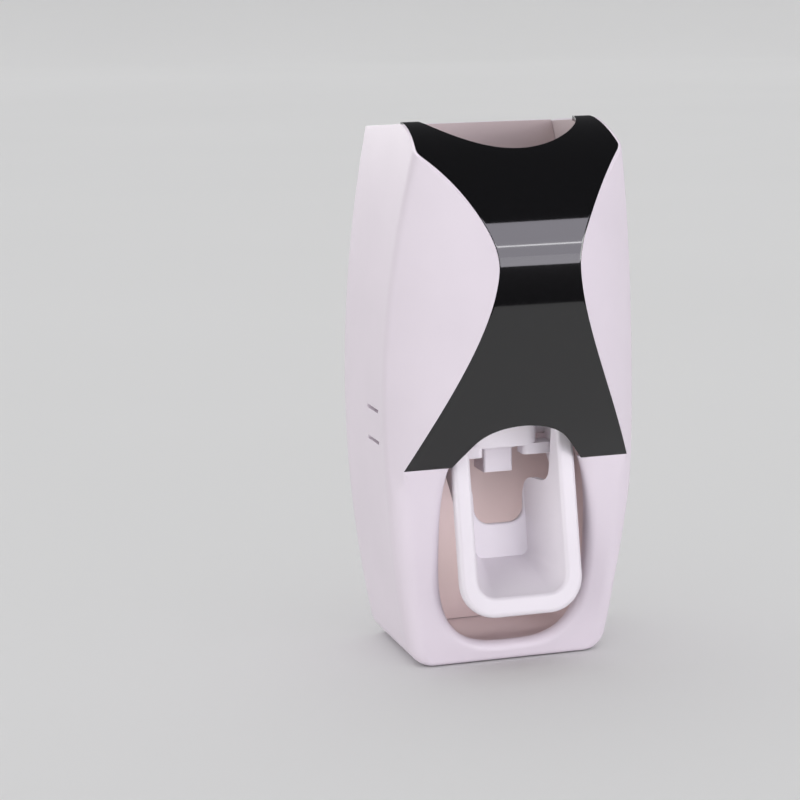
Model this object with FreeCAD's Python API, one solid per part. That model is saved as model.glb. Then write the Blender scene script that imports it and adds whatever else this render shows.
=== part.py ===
import FreeCAD, Part
import math
import os

# Wall-hung toothpaste dispenser. Millimetres. +X right, +Y into the wall, +Z up.
# It is drawn with z = 0 at its foot and y = 0 at the back edge of the case, and every
# solid is shifted at the end so that the origin is the middle of the wall pad's face.

V = FreeCAD.Vector
AX, AY, AZ = V(1, 0, 0), V(0, 1, 0), V(0, 0, 1)

# Clearances shared by all pieces.
FIT = 0.2                # between pieces of the case that stay put
RUN = 0.05               # radial play of a turning or sliding fit
FAR = 90.0               # reach of a cutter beyond the part

# Case, seen from the front.
HEIGHT = 137.0           # foot to the top of the panel's horns
HALF_WIDTH = 33.0        # half width at the widest level
WIDEST_Z = 66.0
FOOT_HALF = 25.8         # half width at the foot
TOP_HALF = 25.5          # half width at the top
FOOT_R = 6.5             # rounding of the two foot corners
SIDE_DRAFT = 0.010       # half width lost per mm towards the front
REAR_DROP = 2.6          # how far the rear rim lies below the horns
HORN_STEP = 0.5          # panel end above the side walls' top edge
WALL = 2.0

# Case, seen from the side: a bellied panel above a leaning flat face.
FOOT_DEPTH = 34.8
PANEL_FOOT_Z = 52.5
PANEL_FOOT_DEPTH = 40.6
BELLY_Z = 104.0
BELLY_DEPTH = 58.4
HORN_DEPTH = 26.5        # where the panel's horns end at the top
LOWER_BEND = 1.7         # exponent of the belly's fall towards the panel's foot
UPPER_ROUND = 1.85       # exponent of the shoulder's near-elliptic round
BELLY_STEPS = (0.0, 0.4, 0.75, 1.0, 1.3, 1.6, 1.85, 2.0)

# Case, seen from above: the lobes beside the panel are parts of an upright cylinder.
PANEL_FOOT_HALF = 29.5
WAIST_HALF = 10.4
LOBE_R = 74.0
SOFT_R = 4.5             # soft edge between side and lobe
LOWER_SOFT_R = 5.0       # soft edge between side and lower face

# Front panel, its arch and the filling mouth.
PANEL_T = 1.2
PANEL_BAND = 0.4         # rim of the lobe left beside the panel
PANEL_PLAY = 0.1         # play between the panel and its seat
ARCH_HALF = 17.0
ARCH_RISE = 10.5
MOUTH_HALF = 20.2
MOUTH_REACH = 17.0
MOUTH_DEEP = 14.0        # how far the mouth's edge dips below the horns

# Opening in the lower face, a superellipse cut short by the panel.
OPEN_HALF = 19.4
OPEN_LOW_Z = 4.7
OPEN_WIDE_Z = 31.3
OPEN_LOW_ROUND = 3.1
OPEN_TOP_ROUND = 2.9
LIP = 1.0                # chamfer of the opening's lip

# Snap strips in the side walls.
SLIT_Y = -26.0
SLIT_Z = 62.0
SLIT_SPAN = 8.0          # distance between the two slits of a strip
SLIT_LONG = 9.6
SLIT_HIGH = 0.9
NIB_LONG = 7.0
NIB_HIGH = 3.6
NIB_DEEP = 0.7
LEDGE_T = 3.0            # ledge of the side wall under the shelf
LEDGE_Y = (-18.0, -6.0)

# Rear cover, wall plate and pad.
COVER_T = 2.0
BOSS_R = 3.4
BOSS_LONG = 12.0
COVER_SCREW_RISE = 16.0  # lower screws above the foot
COVER_SCREW_DROP = 19.0  # upper screws below the top
PLATE_SIZE = (44.0, 2.0, 56.0)
PAD_SIZE = (40.0, 1.0, 52.0)
PLATE_Z = 84.0
STUD_X = 12.0
STUD_RISE = 12.0         # studs above the plate's middle
STUD_NECK_R = 2.2
STUD_HEAD_R = 4.2
STUD_HEAD_T = 1.4

# Pump: a fixed cylinder under the shelf and a hollow plunger that rises into it.
PUMP_Y = -22.0
SHELF_Z = 74.0
SHELF_T = 2.5
BORE_R = 6.0
CYLINDER_T = 1.2
CYLINDER_LONG = 9.4      # below the shelf's underside
VALVE_WALL_T = 2.4
FLANGE_T = 2.5
SOCKET_R = 11.6          # outside of the tube socket
SOCKET_T = 1.5
SOCKET_HIGH = 10.0
COLLAR_T = 1.5
FLANGE_SCREW_X = 16.0
NECK_R = 5.4             # tube neck gripped by the seal

# Pusher, hung on two pins in front of the pump.
PIVOT_Y = -34.0
PIVOT_Z = 60.0
PIN_R = 1.5
SWING_DEG = 18.0
LEAN_DEG = 11.0
RIM_HALF = 16.1
RIM_HIGH = 43.0
RIM_SIDE = 4.2
RIM_FOOT = 4.5
RIM_T = 2.4
RIM_R = 9.0
RIM_SETBACK = 1.8        # rim behind the panel's front at the panel's foot
RIM_FOOT_Z = 14.6
RIM_EDGE = 0.8           # chamfer of the rim's front edges
TROUGH_DEPTH = 14.9
TROUGH_BACK_HALF = 7.0
TROUGH_RISE = 9.5
TROUGH_BACK_R = 2.0
TROUGH_T = 1.6
NOTCH_HALF = 6.6
NOTCH_FOOT = 22.2        # above the rim's foot
WEB_FOOT_Z = 37.4        # where the side webs run into the rim
WEB_T = 1.6
RELIEF_Y = -35.0         # trough walls are cut away behind this line
RELIEF_Z = 45.5          # and above this one
ARM_X = (13.3, 16.1)
ARM_HALF_HIGH = 4.8
ARM_END = 4.6            # fork beyond the lug
EAR_GAP = 0.5
EAR_T = 2.6
EAR_HALF = 4.0

# Plunger block seen in the arch.
BLOCK = (19.0, 17.0, 9.5)
BLOCK_R = 3.0
LUG_R = 2.5
LUG_PLAY = 0.1
FOOT_X = (5.3, 13.0)
FOOT_HIGH = 2.4
FOOT_LONG = 5.8
NOZZLE = (7.8, 8.4, 7.2)
CHANNEL_R = 2.6
VALVE_FLANGE_R = 4.0
VALVE_FLANGE_T = 1.1
WIRE_R = 0.45
SPRING_TURNS = 3
WIRE_SIDES = 6           # flats of the wire's section

# Worked out from the driving sizes.
LEVER = PUMP_Y - PIVOT_Y
HALF_STROKE = LEVER * math.tan(math.radians(SWING_DEG / 2))
LUG_Z = PIVOT_Z - HALF_STROKE
BLOCK_TOP = LUG_Z + 5.9
BLOCK_Z = BLOCK_TOP - BLOCK[2]
CYLINDER_R = BORE_R + CYLINDER_T
COVER_SCREW_Z = (COVER_SCREW_RISE, HEIGHT - COVER_SCREW_DROP)
CYLINDER_Z = SHELF_Z - CYLINDER_LONG
SHELF_TOP = SHELF_Z + SHELF_T
FLANGE_TOP = SHELF_TOP + FLANGE_T
SOCKET_TOP = FLANGE_TOP + SOCKET_HIGH
CHAMBER_TOP = SHELF_TOP - 0.5 - VALVE_WALL_T
PISTON_TOP = CHAMBER_TOP - 2 * HALF_STROKE - 1.6
EAR_X = (ARM_X[1] + EAR_GAP, ARM_X[1] + EAR_GAP + EAR_T)
PLATE_Y = FIT
WALL_Y = PLATE_Y + PLATE_SIZE[1] + PAD_SIZE[1]
ORIGIN = V(0, WALL_Y, PLATE_Z)


def box(x0, y0, z0, x1, y1, z1):
    return Part.makeBox(x1 - x0, y1 - y0, z1 - z0, V(x0, y0, z0))


def rod(radius, start, axis, length):
    return Part.makeCylinder(radius, length, start, axis)


def prism(radius, sides, start, axis, length):
    """Many-sided rod, for what repeats and stays out of sight."""
    across = AX if abs(axis.x) < 0.5 else AY
    other = axis.cross(across)
    turns = [2 * math.pi * k / sides for k in range(sides + 1)]
    ring = Part.makePolygon([start + (across * math.cos(a) + other * math.sin(a)) * radius for a in turns])
    return Part.Face(ring).extrude(axis * length)


def pump_rod(radius, z0, z1):
    """Upright cylinder on the pump's axis."""
    return rod(radius, V(0, PUMP_Y, z0), AZ, z1 - z0)


def both(shape):
    """A solid and its mirror image across the middle plane."""
    return [shape, shape.mirror(V(0, 0, 0), AX)]


def fuse(shapes):
    return shapes[0].multiFuse(shapes[1:]).removeSplitter()


def flip(p):
    return V(-p.x, p.y, p.z)


def rounded_block(cx, cy, size, z0, radius):
    """Upright block with rounded vertical edges."""
    w, d, h = size
    block = box(cx - w / 2, cy - d / 2, z0, cx + w / 2, cy + d / 2, z0 + h)
    upright = [e for e in block.Edges if abs(e.tangentAt(e.FirstParameter).z) > 0.9]
    return block.makeFillet(radius, upright)


def rounded_plate(size, y0, cz, radius):
    """Plate facing the wall, with rounded corners, from y0 backwards."""
    plate = rounded_block(0, 0, (size[0], size[2], size[1]), 0, radius)
    plate.rotate(V(0, 0, 0), AX, 90)
    plate.translate(V(0, y0 + size[1], cz))
    return plate


def profile_along_x(edges, half):
    """Solid between -half and +half from a closed outline in the YZ plane."""
    face = Part.Face(Part.Wire(edges))
    face.translate(V(-half, 0, 0))
    return face.extrude(V(2 * half, 0, 0))


def lines(points):
    return [Part.makeLine(a, b) for a, b in zip(points, points[1:])]


def arc(a, b, c):
    return Part.Arc(a, b, c).toShape()


def tangent_arc(start, apex, end):
    """Arc from start to end whose two end tangents meet at apex."""
    middle = (start + end) * 0.5
    half = (end - start).Length / 2
    lift = apex - middle
    angle = math.atan2(lift.Length, half)
    lift.normalize()
    return arc(start, middle + lift * (half * math.tan(angle / 2)), end)


def biarc(p0, t0, p1, t1):
    """Two arcs that join two points with given end directions."""
    v, t = p1 - p0, t0 + t1
    a, b, c = 2 * (t0.dot(t1) - 1), -2 * v.dot(t), v.dot(v)
    d = 2 * c / (-b + math.sqrt(b * b - 4 * a * c))
    q0, q1 = p0 + t0 * d, p1 - t1 * d
    joint = (q0 + q1) * 0.5
    return [tangent_arc(p0, q0, joint), tangent_arc(joint, q1, p1)]


# Outer form of the case

def half_width(z):
    """Front outline: two parabolas that meet at the widest level."""
    end_z, end_half = (HEIGHT, TOP_HALF) if z > WIDEST_Z else (0.0, FOOT_HALF)
    t = (z - WIDEST_Z) / (end_z - WIDEST_Z)
    return HALF_WIDTH - (HALF_WIDTH - end_half) * t * t


def rear_top(y):
    """Height of the side walls' top edge at depth y."""
    return HEIGHT - REAR_DROP + (REAR_DROP - HORN_STEP) * (-y) / HORN_DEPTH


def lobe_centre():
    """Plan centre of the lobe's circle, through the panel's foot corner and waist corner."""
    foot = V(PANEL_FOOT_HALF, -PANEL_FOOT_DEPTH, 0)
    waist = V(WAIST_HALF, -BELLY_DEPTH, 0)
    chord = foot - waist
    inward = V(-chord.y, chord.x, 0)
    inward.normalize()
    rise = math.sqrt(LOBE_R ** 2 - (chord.Length / 2) ** 2)
    return (foot + waist) * 0.5 + inward * rise


def plan_wire(right_edges):
    """Closed plan section from the edges of its right half, given back to front."""
    left = [e.mirror(V(0, 0, 0), AX) for e in right_edges]
    start = right_edges[0].Vertexes[0].Point
    back = Part.makeLine(flip(start), start)
    return Part.Wire(Part.__sortEdges__(right_edges + left + [back]))


def side_start(z, inset, back_y):
    slant = math.sqrt(1 + SIDE_DRAFT ** 2)
    return V(half_width(z) - inset * slant + SIDE_DRAFT * back_y, back_y, z)


def lobe_section(z, inset, back_y, plain):
    """Plan section above the panel's foot: side, soft edge and lobe up to the nose."""
    slant = math.sqrt(1 + SIDE_DRAFT ** 2)
    c = lobe_centre()
    w = half_width(z) - SOFT_R * slant
    qa = 1 + SIDE_DRAFT ** 2
    qb = SIDE_DRAFT * (w - c.x) - c.y
    qc = (w - c.x) ** 2 + c.y ** 2 - (LOBE_R - SOFT_R) ** 2
    v = (-qb - math.sqrt(qb * qb - qa * qc)) / qa
    soft = V(w + SIDE_DRAFT * v, v, z)
    c = V(c.x, c.y, z)
    out_side = V(1 / slant, -SIDE_DRAFT / slant, 0)
    out_lobe = soft - c
    out_lobe.normalize()
    out_mid = out_side + out_lobe
    out_mid.normalize()
    r_soft, r_lobe = SOFT_R - inset, LOBE_R - inset
    t1, mid, t2 = [soft + d * r_soft for d in (out_side, out_mid, out_lobe)]
    nose = V(0, c.y - math.sqrt(r_lobe ** 2 - c.x ** 2), z)
    out_half = (t2 - c) + (nose - c)
    out_half.normalize()
    crown = c + out_half * r_lobe
    if plain:
        return plan_wire(lines([side_start(z, inset, back_y), t1, t2, crown, nose]))
    edges = lines([side_start(z, inset, back_y), t1])
    return plan_wire(edges + [arc(t1, mid, t2), arc(t2, crown, nose)])


def lower_depth(z):
    return FOOT_DEPTH + (PANEL_FOOT_DEPTH - FOOT_DEPTH) * z / PANEL_FOOT_Z


def lower_section(z, inset, back_y, plain):
    """Plan section below the panel: side, soft edge and flat leaning face."""
    slant = math.sqrt(1 + SIDE_DRAFT ** 2)
    v = LOWER_SOFT_R - lower_depth(z)
    soft = V(half_width(z) - LOWER_SOFT_R * slant + SIDE_DRAFT * v, v, z)
    out_side = V(1 / slant, -SIDE_DRAFT / slant, 0)
    out_mid = out_side - AY
    out_mid.normalize()
    r_soft = LOWER_SOFT_R - inset
    t1, mid, t2 = [soft + d * r_soft for d in (out_side, out_mid, -AY)]
    turn = lines([t1, t2]) if plain else [arc(t1, mid, t2)]
    edges = lines([side_start(z, inset, back_y), t1]) + turn + lines([t2, V(0, t2.y, z)])
    return plan_wire(edges)


def loft(section, z0, z1, count, inset, back_y, plain):
    step = (z1 - z0) / (count - 1)
    wires = [section(z0 + k * step, inset, back_y, plain) for k in range(count)]
    return Part.makeLoft(wires, True, True)


def foot_trim(inset):
    """Upright slab that rounds the two foot corners."""
    slope = 2 * (HALF_WIDTH - FOOT_HALF) / WIDEST_Z
    slant = math.sqrt(1 + slope ** 2)
    half = FOOT_HALF + 0.3
    centre = V(half + slope * FOOT_R - FOOT_R * slant, 0, FOOT_R)
    r = FOOT_R - inset
    out_side = V(1 / slant, 0, -slope / slant)
    out_mid = out_side - AZ
    out_mid.normalize()
    low, mid, side = [centre + d * r for d in (-AZ, out_mid, out_side)]
    high = side + V(slope, 0, 1) * FAR
    edges = [arc(low, mid, side), arc(flip(low), flip(mid), flip(side))]
    edges += lines([flip(low), low]) + lines([side, high, flip(high), flip(side)])
    face = Part.Face(Part.Wire(Part.__sortEdges__(edges)))
    face.translate(V(0, -FAR, 0))
    return face.extrude(V(0, 2 * FAR, 0))


def belly_point(u):
    """Side profile of the panel: u runs from 0 at its foot over 1 at the belly to 2 at the horns."""
    if u < 1:
        depth = BELLY_DEPTH - (BELLY_DEPTH - PANEL_FOOT_DEPTH) * (1 - u) ** LOWER_BEND
        return V(0, -depth, PANEL_FOOT_Z + (BELLY_Z - PANEL_FOOT_Z) * u)
    a = (u - 1) * math.pi / 2
    power = 2 / UPPER_ROUND
    depth = HORN_DEPTH + (BELLY_DEPTH - HORN_DEPTH) * abs(math.cos(a)) ** power
    return V(0, -depth, BELLY_Z + (HEIGHT - BELLY_Z) * math.sin(a) ** power)


def belly_station(u, inset):
    """Point of the profile, moved inwards by inset, and the direction there."""
    way = belly_point(min(u + 1e-4, 2.0)) - belly_point(max(u - 1e-4, 0.0))
    way.normalize()
    return belly_point(u) + V(0, way.z, -way.y) * inset, way


def belly_curve(inset):
    """The panel's side profile as tangent arcs, with its two ends and its first direction."""
    stations = [belly_station(u, inset) for u in BELLY_STEPS]
    edges = []
    for a, b in zip(stations, stations[1:]):
        edges += biarc(*a, *b)
    return edges, stations[0][0], stations[-1][0], stations[0][1]


def belly_solid():
    """Everything behind the panel's face and under the top edge."""
    edges, foot, top, way = belly_curve(0)
    rim = [top, V(0, top.y, rear_top(top.y)), V(0, FAR, rear_top(FAR)), V(0, FAR, foot.z), foot]
    return profile_along_x(edges + lines(rim), FAR)


def chamber_solid(inset):
    """Everything behind the panel's back wall, open at the top."""
    edges, foot, top, way = belly_curve(inset)
    low = foot - way * ((foot.z - PANEL_FOOT_Z + WALL) / way.z)
    rim = [top, V(0, top.y, FAR * 2), V(0, FAR, FAR * 2), V(0, FAR, low.z), low, foot]
    return profile_along_x(edges + lines(rim), FAR)


def lobe_prism(inset, back_y=0.0, plain=False):
    return loft(lobe_section, PANEL_FOOT_Z - 5, HEIGHT + 6, 7, inset, back_y, plain)


def lower_prism(inset, back_y=0.0, plain=False):
    whole = loft(lower_section, inset, PANEL_FOOT_Z, 5, inset, back_y, plain)
    return whole.common(foot_trim(inset))


def cavity(inset):
    """Hollow of the case at a given distance inside its outer form, with plain corners."""
    upper = lobe_prism(inset, 4.0, True).common(chamber_solid(PANEL_T + inset))
    return lower_prism(inset, 4.0, True).fuse(upper)


def panel_layer(front, back):
    """Bent layer between two distances behind the panel's face."""
    a, a_foot, a_top, way = belly_curve(front)
    b, b_foot, b_top, way = belly_curve(back)
    edges = a + b + lines([a_top, b_top]) + lines([a_foot, b_foot])
    layer = profile_along_x(Part.__sortEdges__(edges), FAR)
    return layer.common(box(-FAR, -FAR, PANEL_FOOT_Z, FAR, FAR, FAR * 2))


def mouth_cut():
    """Upright elliptic cutter of the filling mouth's front edge."""
    major, minor = max(MOUTH_HALF, MOUTH_REACH), min(MOUTH_HALF, MOUTH_REACH)
    ellipse = Part.Ellipse(V(0, -HORN_DEPTH, 0), major, minor)
    edge = ellipse.toShape()
    if MOUTH_REACH > MOUTH_HALF:
        edge.rotate(V(0, -HORN_DEPTH, 0), AZ, 90)
    face = Part.Face(Part.Wire([edge]))
    face.translate(V(0, 0, HEIGHT - MOUTH_DEEP))
    return face.extrude(V(0, 0, FAR))


def arch_cut():
    """Cutter of the panel's arch."""
    shape = ((1.0, 0.0), (0.86, 0.29), (0.635, 0.70), (0.36, 0.92))
    right = [V(ARCH_HALF * x, 0, PANEL_FOOT_Z + ARCH_RISE * h) for x, h in shape]
    top = V(0, 0, PANEL_FOOT_Z + ARCH_RISE)
    curve = Part.BSplineCurve()
    curve.interpolate(right + [top] + [flip(p) for p in reversed(right)])
    low = V(ARCH_HALF, 0, PANEL_FOOT_Z - 5)
    edges = [curve.toShape()] + lines([flip(right[0]), flip(low), low, right[0]])
    face = Part.Face(Part.Wire(Part.__sortEdges__(edges)))
    face.translate(V(0, -FAR, 0))
    return face.extrude(V(0, FAR + PIVOT_Y + 2, 0))


def opening_cut():
    """Cutter of the opening in the lower face: a superellipse."""
    top_z = PANEL_FOOT_Z + ARCH_RISE
    points = []
    for k in range(24):
        a = 2 * math.pi * k / 24
        high = math.sin(a) > 0
        power = 2 / (OPEN_TOP_ROUND if high else OPEN_LOW_ROUND)
        reach = (top_z if high else OPEN_LOW_Z) - OPEN_WIDE_Z
        x = math.copysign(abs(math.cos(a)) ** power, math.cos(a))
        points.append(V(OPEN_HALF * x, -FAR, OPEN_WIDE_Z + reach * abs(math.sin(a)) ** power))
    curve = Part.BSplineCurve()
    curve.interpolate(points, True)
    face = Part.Face(Part.Wire([curve.toShape()]))
    return face.extrude(V(0, FAR + PUMP_Y, 0))


# Pieces of the case

def make_lower_front():
    """Lower half of the case with the opening's rounded lip, still solid behind."""
    body = lower_prism(0.0)
    cutter = opening_cut()
    body = body.cut(cutter)
    lip = []
    for e in body.Edges:
        mid = e.valueAt((e.FirstParameter + e.LastParameter) / 2)
        on_face = abs(mid.y + lower_depth(mid.z)) < 0.01
        inside = abs(mid.x) < OPEN_HALF + 0.1 and mid.z > OPEN_LOW_Z - 0.1
        if on_face and inside and mid.z < PANEL_FOOT_Z - 0.1:
            lip.append(e)
    return body.makeChamfer(LIP, lip)


def slits():
    cuts = []
    for side in (-1, 1):
        for level in (-SLIT_SPAN / 2, SLIT_SPAN / 2):
            z = SLIT_Z + level
            x = side * (HALF_WIDTH - 1.5)
            cuts.append(box(x - 4, SLIT_Y - SLIT_LONG / 2, z - SLIT_HIGH / 2,
                            x + 4, SLIT_Y + SLIT_LONG / 2, z + SLIT_HIGH / 2))
    return cuts


def cover_screw_spots():
    return [V(s * (half_width(z) - WALL - BOSS_R + 0.4), 0, z)
            for z in COVER_SCREW_Z for s in (-1, 1)]


def snap_block(grow):
    """Block between the slits on both sides, grown by the snap's play."""
    block = box(HALF_WIDTH - 8, SLIT_Y - NIB_LONG / 2 - grow, SLIT_Z - NIB_HIGH / 2 - grow,
                HALF_WIDTH + 4, SLIT_Y + NIB_LONG / 2 + grow, SLIT_Z + NIB_HIGH / 2 + grow)
    return Part.makeCompound(both(block))


def make_housing_shell():
    upper = lobe_prism(0.0).common(belly_solid())
    outer = fuse([make_lower_front(), upper])
    shell = outer.cut(cavity(WALL))
    seat = panel_layer(-0.5, PANEL_T + PANEL_PLAY / 2).common(lobe_prism(PANEL_BAND - PANEL_PLAY))
    hidden = box(-OPEN_HALF + 1.4, -FAR, PANEL_FOOT_Z, OPEN_HALF - 1.4, PIVOT_Y + 1,
                 PANEL_FOOT_Z + ARCH_RISE + 2.5)
    shell = shell.cut([seat, mouth_cut(), hidden] + slits())
    shell = shell.cut(snap_block(FIT).common(cavity(WALL - NIB_DEEP - FIT)))
    inner = cavity(WALL - 0.5)
    ledge = box(HALF_WIDTH - 8, LEDGE_Y[0], SHELF_Z - LEDGE_T - FIT,
                HALF_WIDTH + 4, LEDGE_Y[1], SHELF_Z - FIT)
    added = [s.common(inner) for s in both(ledge)]
    for p in cover_screw_spots():
        boss = prism(BOSS_R, 16, p - AY * (COVER_T + FIT), -AY, BOSS_LONG)
        bore = prism(1.15, 8, p, -AY, BOSS_LONG)
        added.append(boss.cut(bore).common(inner))
    return fuse([shell] + added)


def make_front_panel():
    panel = panel_layer(0.0, PANEL_T).common(lobe_prism(PANEL_BAND))
    return panel.cut([mouth_cut(), arch_cut()])


def keyholes():
    """Two keyholes: a round entry below and a slot up to the resting stud."""
    cuts = []
    z = PLATE_Z + STUD_RISE
    drop = 2.4 * STUD_HEAD_R
    for x in (-STUD_X, STUD_X):
        w = STUD_NECK_R + FIT
        cuts.append(rod(w, V(x, 1, z), -AY, COVER_T + 2))
        cuts.append(box(x - w, -COVER_T - 1, z - drop, x + w, 1, z))
        cuts.append(rod(STUD_HEAD_R + 2 * FIT, V(x, 1, z - drop), -AY, COVER_T + 2))
    return cuts


def make_rear_cover():
    slab = box(-FAR, -COVER_T, WALL + FIT, FAR, 0, rear_top(0))
    cover = slab.common(cavity(WALL + FIT))
    cuts = keyholes()
    for p in cover_screw_spots():
        cuts.append(prism(1.5, 8, p + AY, -AY, COVER_T + 2))
    return cover.cut(cuts)


def screw(seat, axis, shank_r, shank_long, head_r, head_t):
    """Screw whose head lies on seat and whose shank runs along axis."""
    return fuse([prism(head_r, 16, seat, -axis, head_t), prism(shank_r, 8, seat - axis * 0.1, axis, shank_long)])


def make_cover_screws():
    return Part.makeCompound([screw(p, -AY, 1.05, 9.8, 2.8, 1.5)
                              for p in cover_screw_spots()])


def make_wall_plate():
    plate = rounded_plate(PLATE_SIZE, PLATE_Y, PLATE_Z, 4.0)
    z = PLATE_Z + STUD_RISE
    studs = []
    for x in (-STUD_X, STUD_X):
        base = V(x, PLATE_Y + 0.5, z)
        under = PLATE_Y + COVER_T + FIT
        studs.append(rod(STUD_NECK_R, base, -AY, under + 0.7))
        studs.append(rod(STUD_HEAD_R, V(x, PLATE_Y - under - FIT, z), -AY, STUD_HEAD_T))
    return fuse([plate] + studs)


def make_adhesive_pad():
    return rounded_plate(PAD_SIZE, PLATE_Y + PLATE_SIZE[1], PLATE_Z, 3.0)


# Pump, fixed pieces

def make_pump_frame():
    hollow = cavity(WALL + FIT)
    shelf = box(-FAR, -FAR, SHELF_Z, FAR, -COVER_T - 1.0, SHELF_TOP).common(hollow)
    skirt = box(HALF_WIDTH - 5.5, SLIT_Y - 5, SLIT_Z - 5, HALF_WIDTH + 4, SLIT_Y + 5, SHELF_Z + 1)
    added = [s.common(hollow) for s in both(skirt)]
    added.append(snap_block(0.0).common(cavity(WALL - NIB_DEEP)).cut(
        box(-HALF_WIDTH + 5, -FAR, 0, HALF_WIDTH - 5, FAR, FAR)))
    ear = box(EAR_X[0], PIVOT_Y - EAR_HALF, PIVOT_Z, EAR_X[1], PIVOT_Y + EAR_HALF, SHELF_Z + 1)
    ear = ear.fuse(rod(EAR_HALF, V(EAR_X[0], PIVOT_Y, PIVOT_Z), AX, EAR_T))
    gusset = box(EAR_X[1] - 0.5, PIVOT_Y - 0.8, PIVOT_Z + 6, EAR_X[1] + 5, PIVOT_Y + 0.8, SHELF_Z + 1)
    added += both(ear) + both(gusset)
    frame = fuse([shelf] + added)
    holes = [pump_rod(CYLINDER_R + FIT, SHELF_Z - 1, SHELF_TOP + 1)]
    holes += both(rod(PIN_R + 0.01, V(EAR_X[0] - 1, PIVOT_Y, PIVOT_Z), AX, EAR_T + 2))
    holes += both(prism(1.15, 8, V(FLANGE_SCREW_X, PUMP_Y, SHELF_Z - 1), AZ, SHELF_T + 2))
    return frame.cut(holes)


def make_hinge_pins():
    pin = rod(PIN_R, V(ARM_X[0] - 0.3, PIVOT_Y, PIVOT_Z), AX, EAR_X[1] - ARM_X[0] + 0.3)
    return Part.makeCompound(both(pin))


def make_pump_cylinder():
    outer = fuse([pump_rod(CYLINDER_R, CYLINDER_Z, FLANGE_TOP),
                  rounded_block(0, PUMP_Y, (2 * FLANGE_SCREW_X + 8, 12, FLANGE_T), SHELF_TOP, 3),
                  pump_rod(SOCKET_R, SHELF_TOP, SOCKET_TOP)])
    cuts = [pump_rod(BORE_R, CYLINDER_Z - 1, CHAMBER_TOP),
            pump_rod(BORE_R - 0.6, CHAMBER_TOP + VALVE_WALL_T, FLANGE_TOP + 1),
            pump_rod(SOCKET_R - SOCKET_T, FLANGE_TOP, SOCKET_TOP + 1),
            pump_rod(1.25, CHAMBER_TOP - 1, FLANGE_TOP)]
    for k in range(3):
        a = math.radians(120 * k)
        at = V(3.1 * math.cos(a), PUMP_Y + 3.1 * math.sin(a), CHAMBER_TOP - 1)
        cuts.append(rod(0.8, at, AZ, VALVE_WALL_T + 2))
    cuts += both(prism(1.3, 8, V(FLANGE_SCREW_X, PUMP_Y, SHELF_TOP - 1), AZ, FLANGE_T + 2))
    return outer.cut(cuts)


def make_flange_screws():
    seats = [V(s * FLANGE_SCREW_X, PUMP_Y, FLANGE_TOP) for s in (-1, 1)]
    return Part.makeCompound([screw(p, -AZ, 1.0, FLANGE_T + SHELF_T + 1.0, 2.3, 1.4) for p in seats])


def turned(profile):
    """Solid turned about the pump's axis from (radius, z) corners."""
    pts = [V(r, PUMP_Y, z) for r, z in profile]
    face = Part.Face(Part.Wire(lines(pts + [pts[0]])))
    return face.revolve(V(0, PUMP_Y, 0), AZ, 360)


def make_tube_seal():
    r = SOCKET_R - SOCKET_T - RUN
    return turned([(NECK_R - 0.9, FLANGE_TOP), (r, FLANGE_TOP), (r, SOCKET_TOP),
                   (NECK_R - 0.2, SOCKET_TOP), (NECK_R - 0.2, FLANGE_TOP + 2),
                   (NECK_R - 0.9, FLANGE_TOP + 2)])


def make_seal_collar():
    inner = SOCKET_R + 0.1
    return turned([(inner, SOCKET_TOP - 6), (inner + COLLAR_T, SOCKET_TOP - 6),
                   (inner + COLLAR_T, SOCKET_TOP + 1.8), (NECK_R + 1.8, SOCKET_TOP + 1.8),
                   (NECK_R + 1.8, SOCKET_TOP + 0.1), (inner, SOCKET_TOP + 0.1)])


def make_inlet_valve():
    """Umbrella valve: a thin disc under the valve wall, held by its stem."""
    z = CHAMBER_TOP
    return turned([(0, z - 0.6), (4.4, z - 0.6), (4.4, z), (1.15, z), (1.15, z + VALVE_WALL_T),
                   (1.9, z + VALVE_WALL_T), (1.9, z + VALVE_WALL_T + 1.0),
                   (0, z + VALVE_WALL_T + 1.0)])


# Plunger and what rides on it

def make_plunger():
    groove_z = BLOCK_TOP - 2 * HALF_STROKE - 0.8
    seat_z = PISTON_TOP - 2.8
    block = rounded_block(0, PUMP_Y, BLOCK, BLOCK_Z, BLOCK_R)
    well = pump_rod(CYLINDER_R + 0.3, groove_z, BLOCK_TOP + 1)
    stem = pump_rod(BORE_R - 0.3, groove_z - 0.5, seat_z)
    head = pump_rod(BORE_R - 1.7, seat_z - 0.5, PISTON_TOP)
    front = PUMP_Y - BLOCK[1] / 2
    foot = rounded_block((FOOT_X[0] + FOOT_X[1]) / 2, front + FOOT_LONG / 2,
                         (FOOT_X[1] - FOOT_X[0], FOOT_LONG, FOOT_HIGH + 0.4), BLOCK_Z - FOOT_HIGH, 1.4)
    lug = rod(LUG_R, V(BLOCK[0] / 2 - 1.5, PUMP_Y, LUG_Z), AX, ARM_X[1] - BLOCK[0] / 2 + 1.2)
    body = fuse([block.cut(well), stem, head] + both(foot) + both(lug))
    return body.cut([pump_rod(CHANNEL_R, BLOCK_Z - 1, PISTON_TOP + 1),
                     pump_rod(VALVE_FLANGE_R + 0.1, BLOCK_Z - 1, BLOCK_Z + VALVE_FLANGE_T)])


def make_piston_seal():
    """Cup ring with a thin lip against the bore."""
    z, r = PISTON_TOP - 2.8, BORE_R - RUN
    core = BORE_R - 1.65
    return turned([(core, z), (r, z), (r, z + 1.6), (r - 0.5, z + 1.6), (r - 0.5, z + 0.9),
                   (core, z + 0.9)])


def make_seal_retainer():
    z, core = PISTON_TOP - 1.1, BORE_R - 1.65
    return turned([(core, z - 0.7), (core + 0.6, z - 0.7), (core + 0.6, z + 0.5),
                   (BORE_R - 0.5, z + 0.5), (BORE_R - 0.5, z + 1.3), (core, z + 1.3)])


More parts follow.
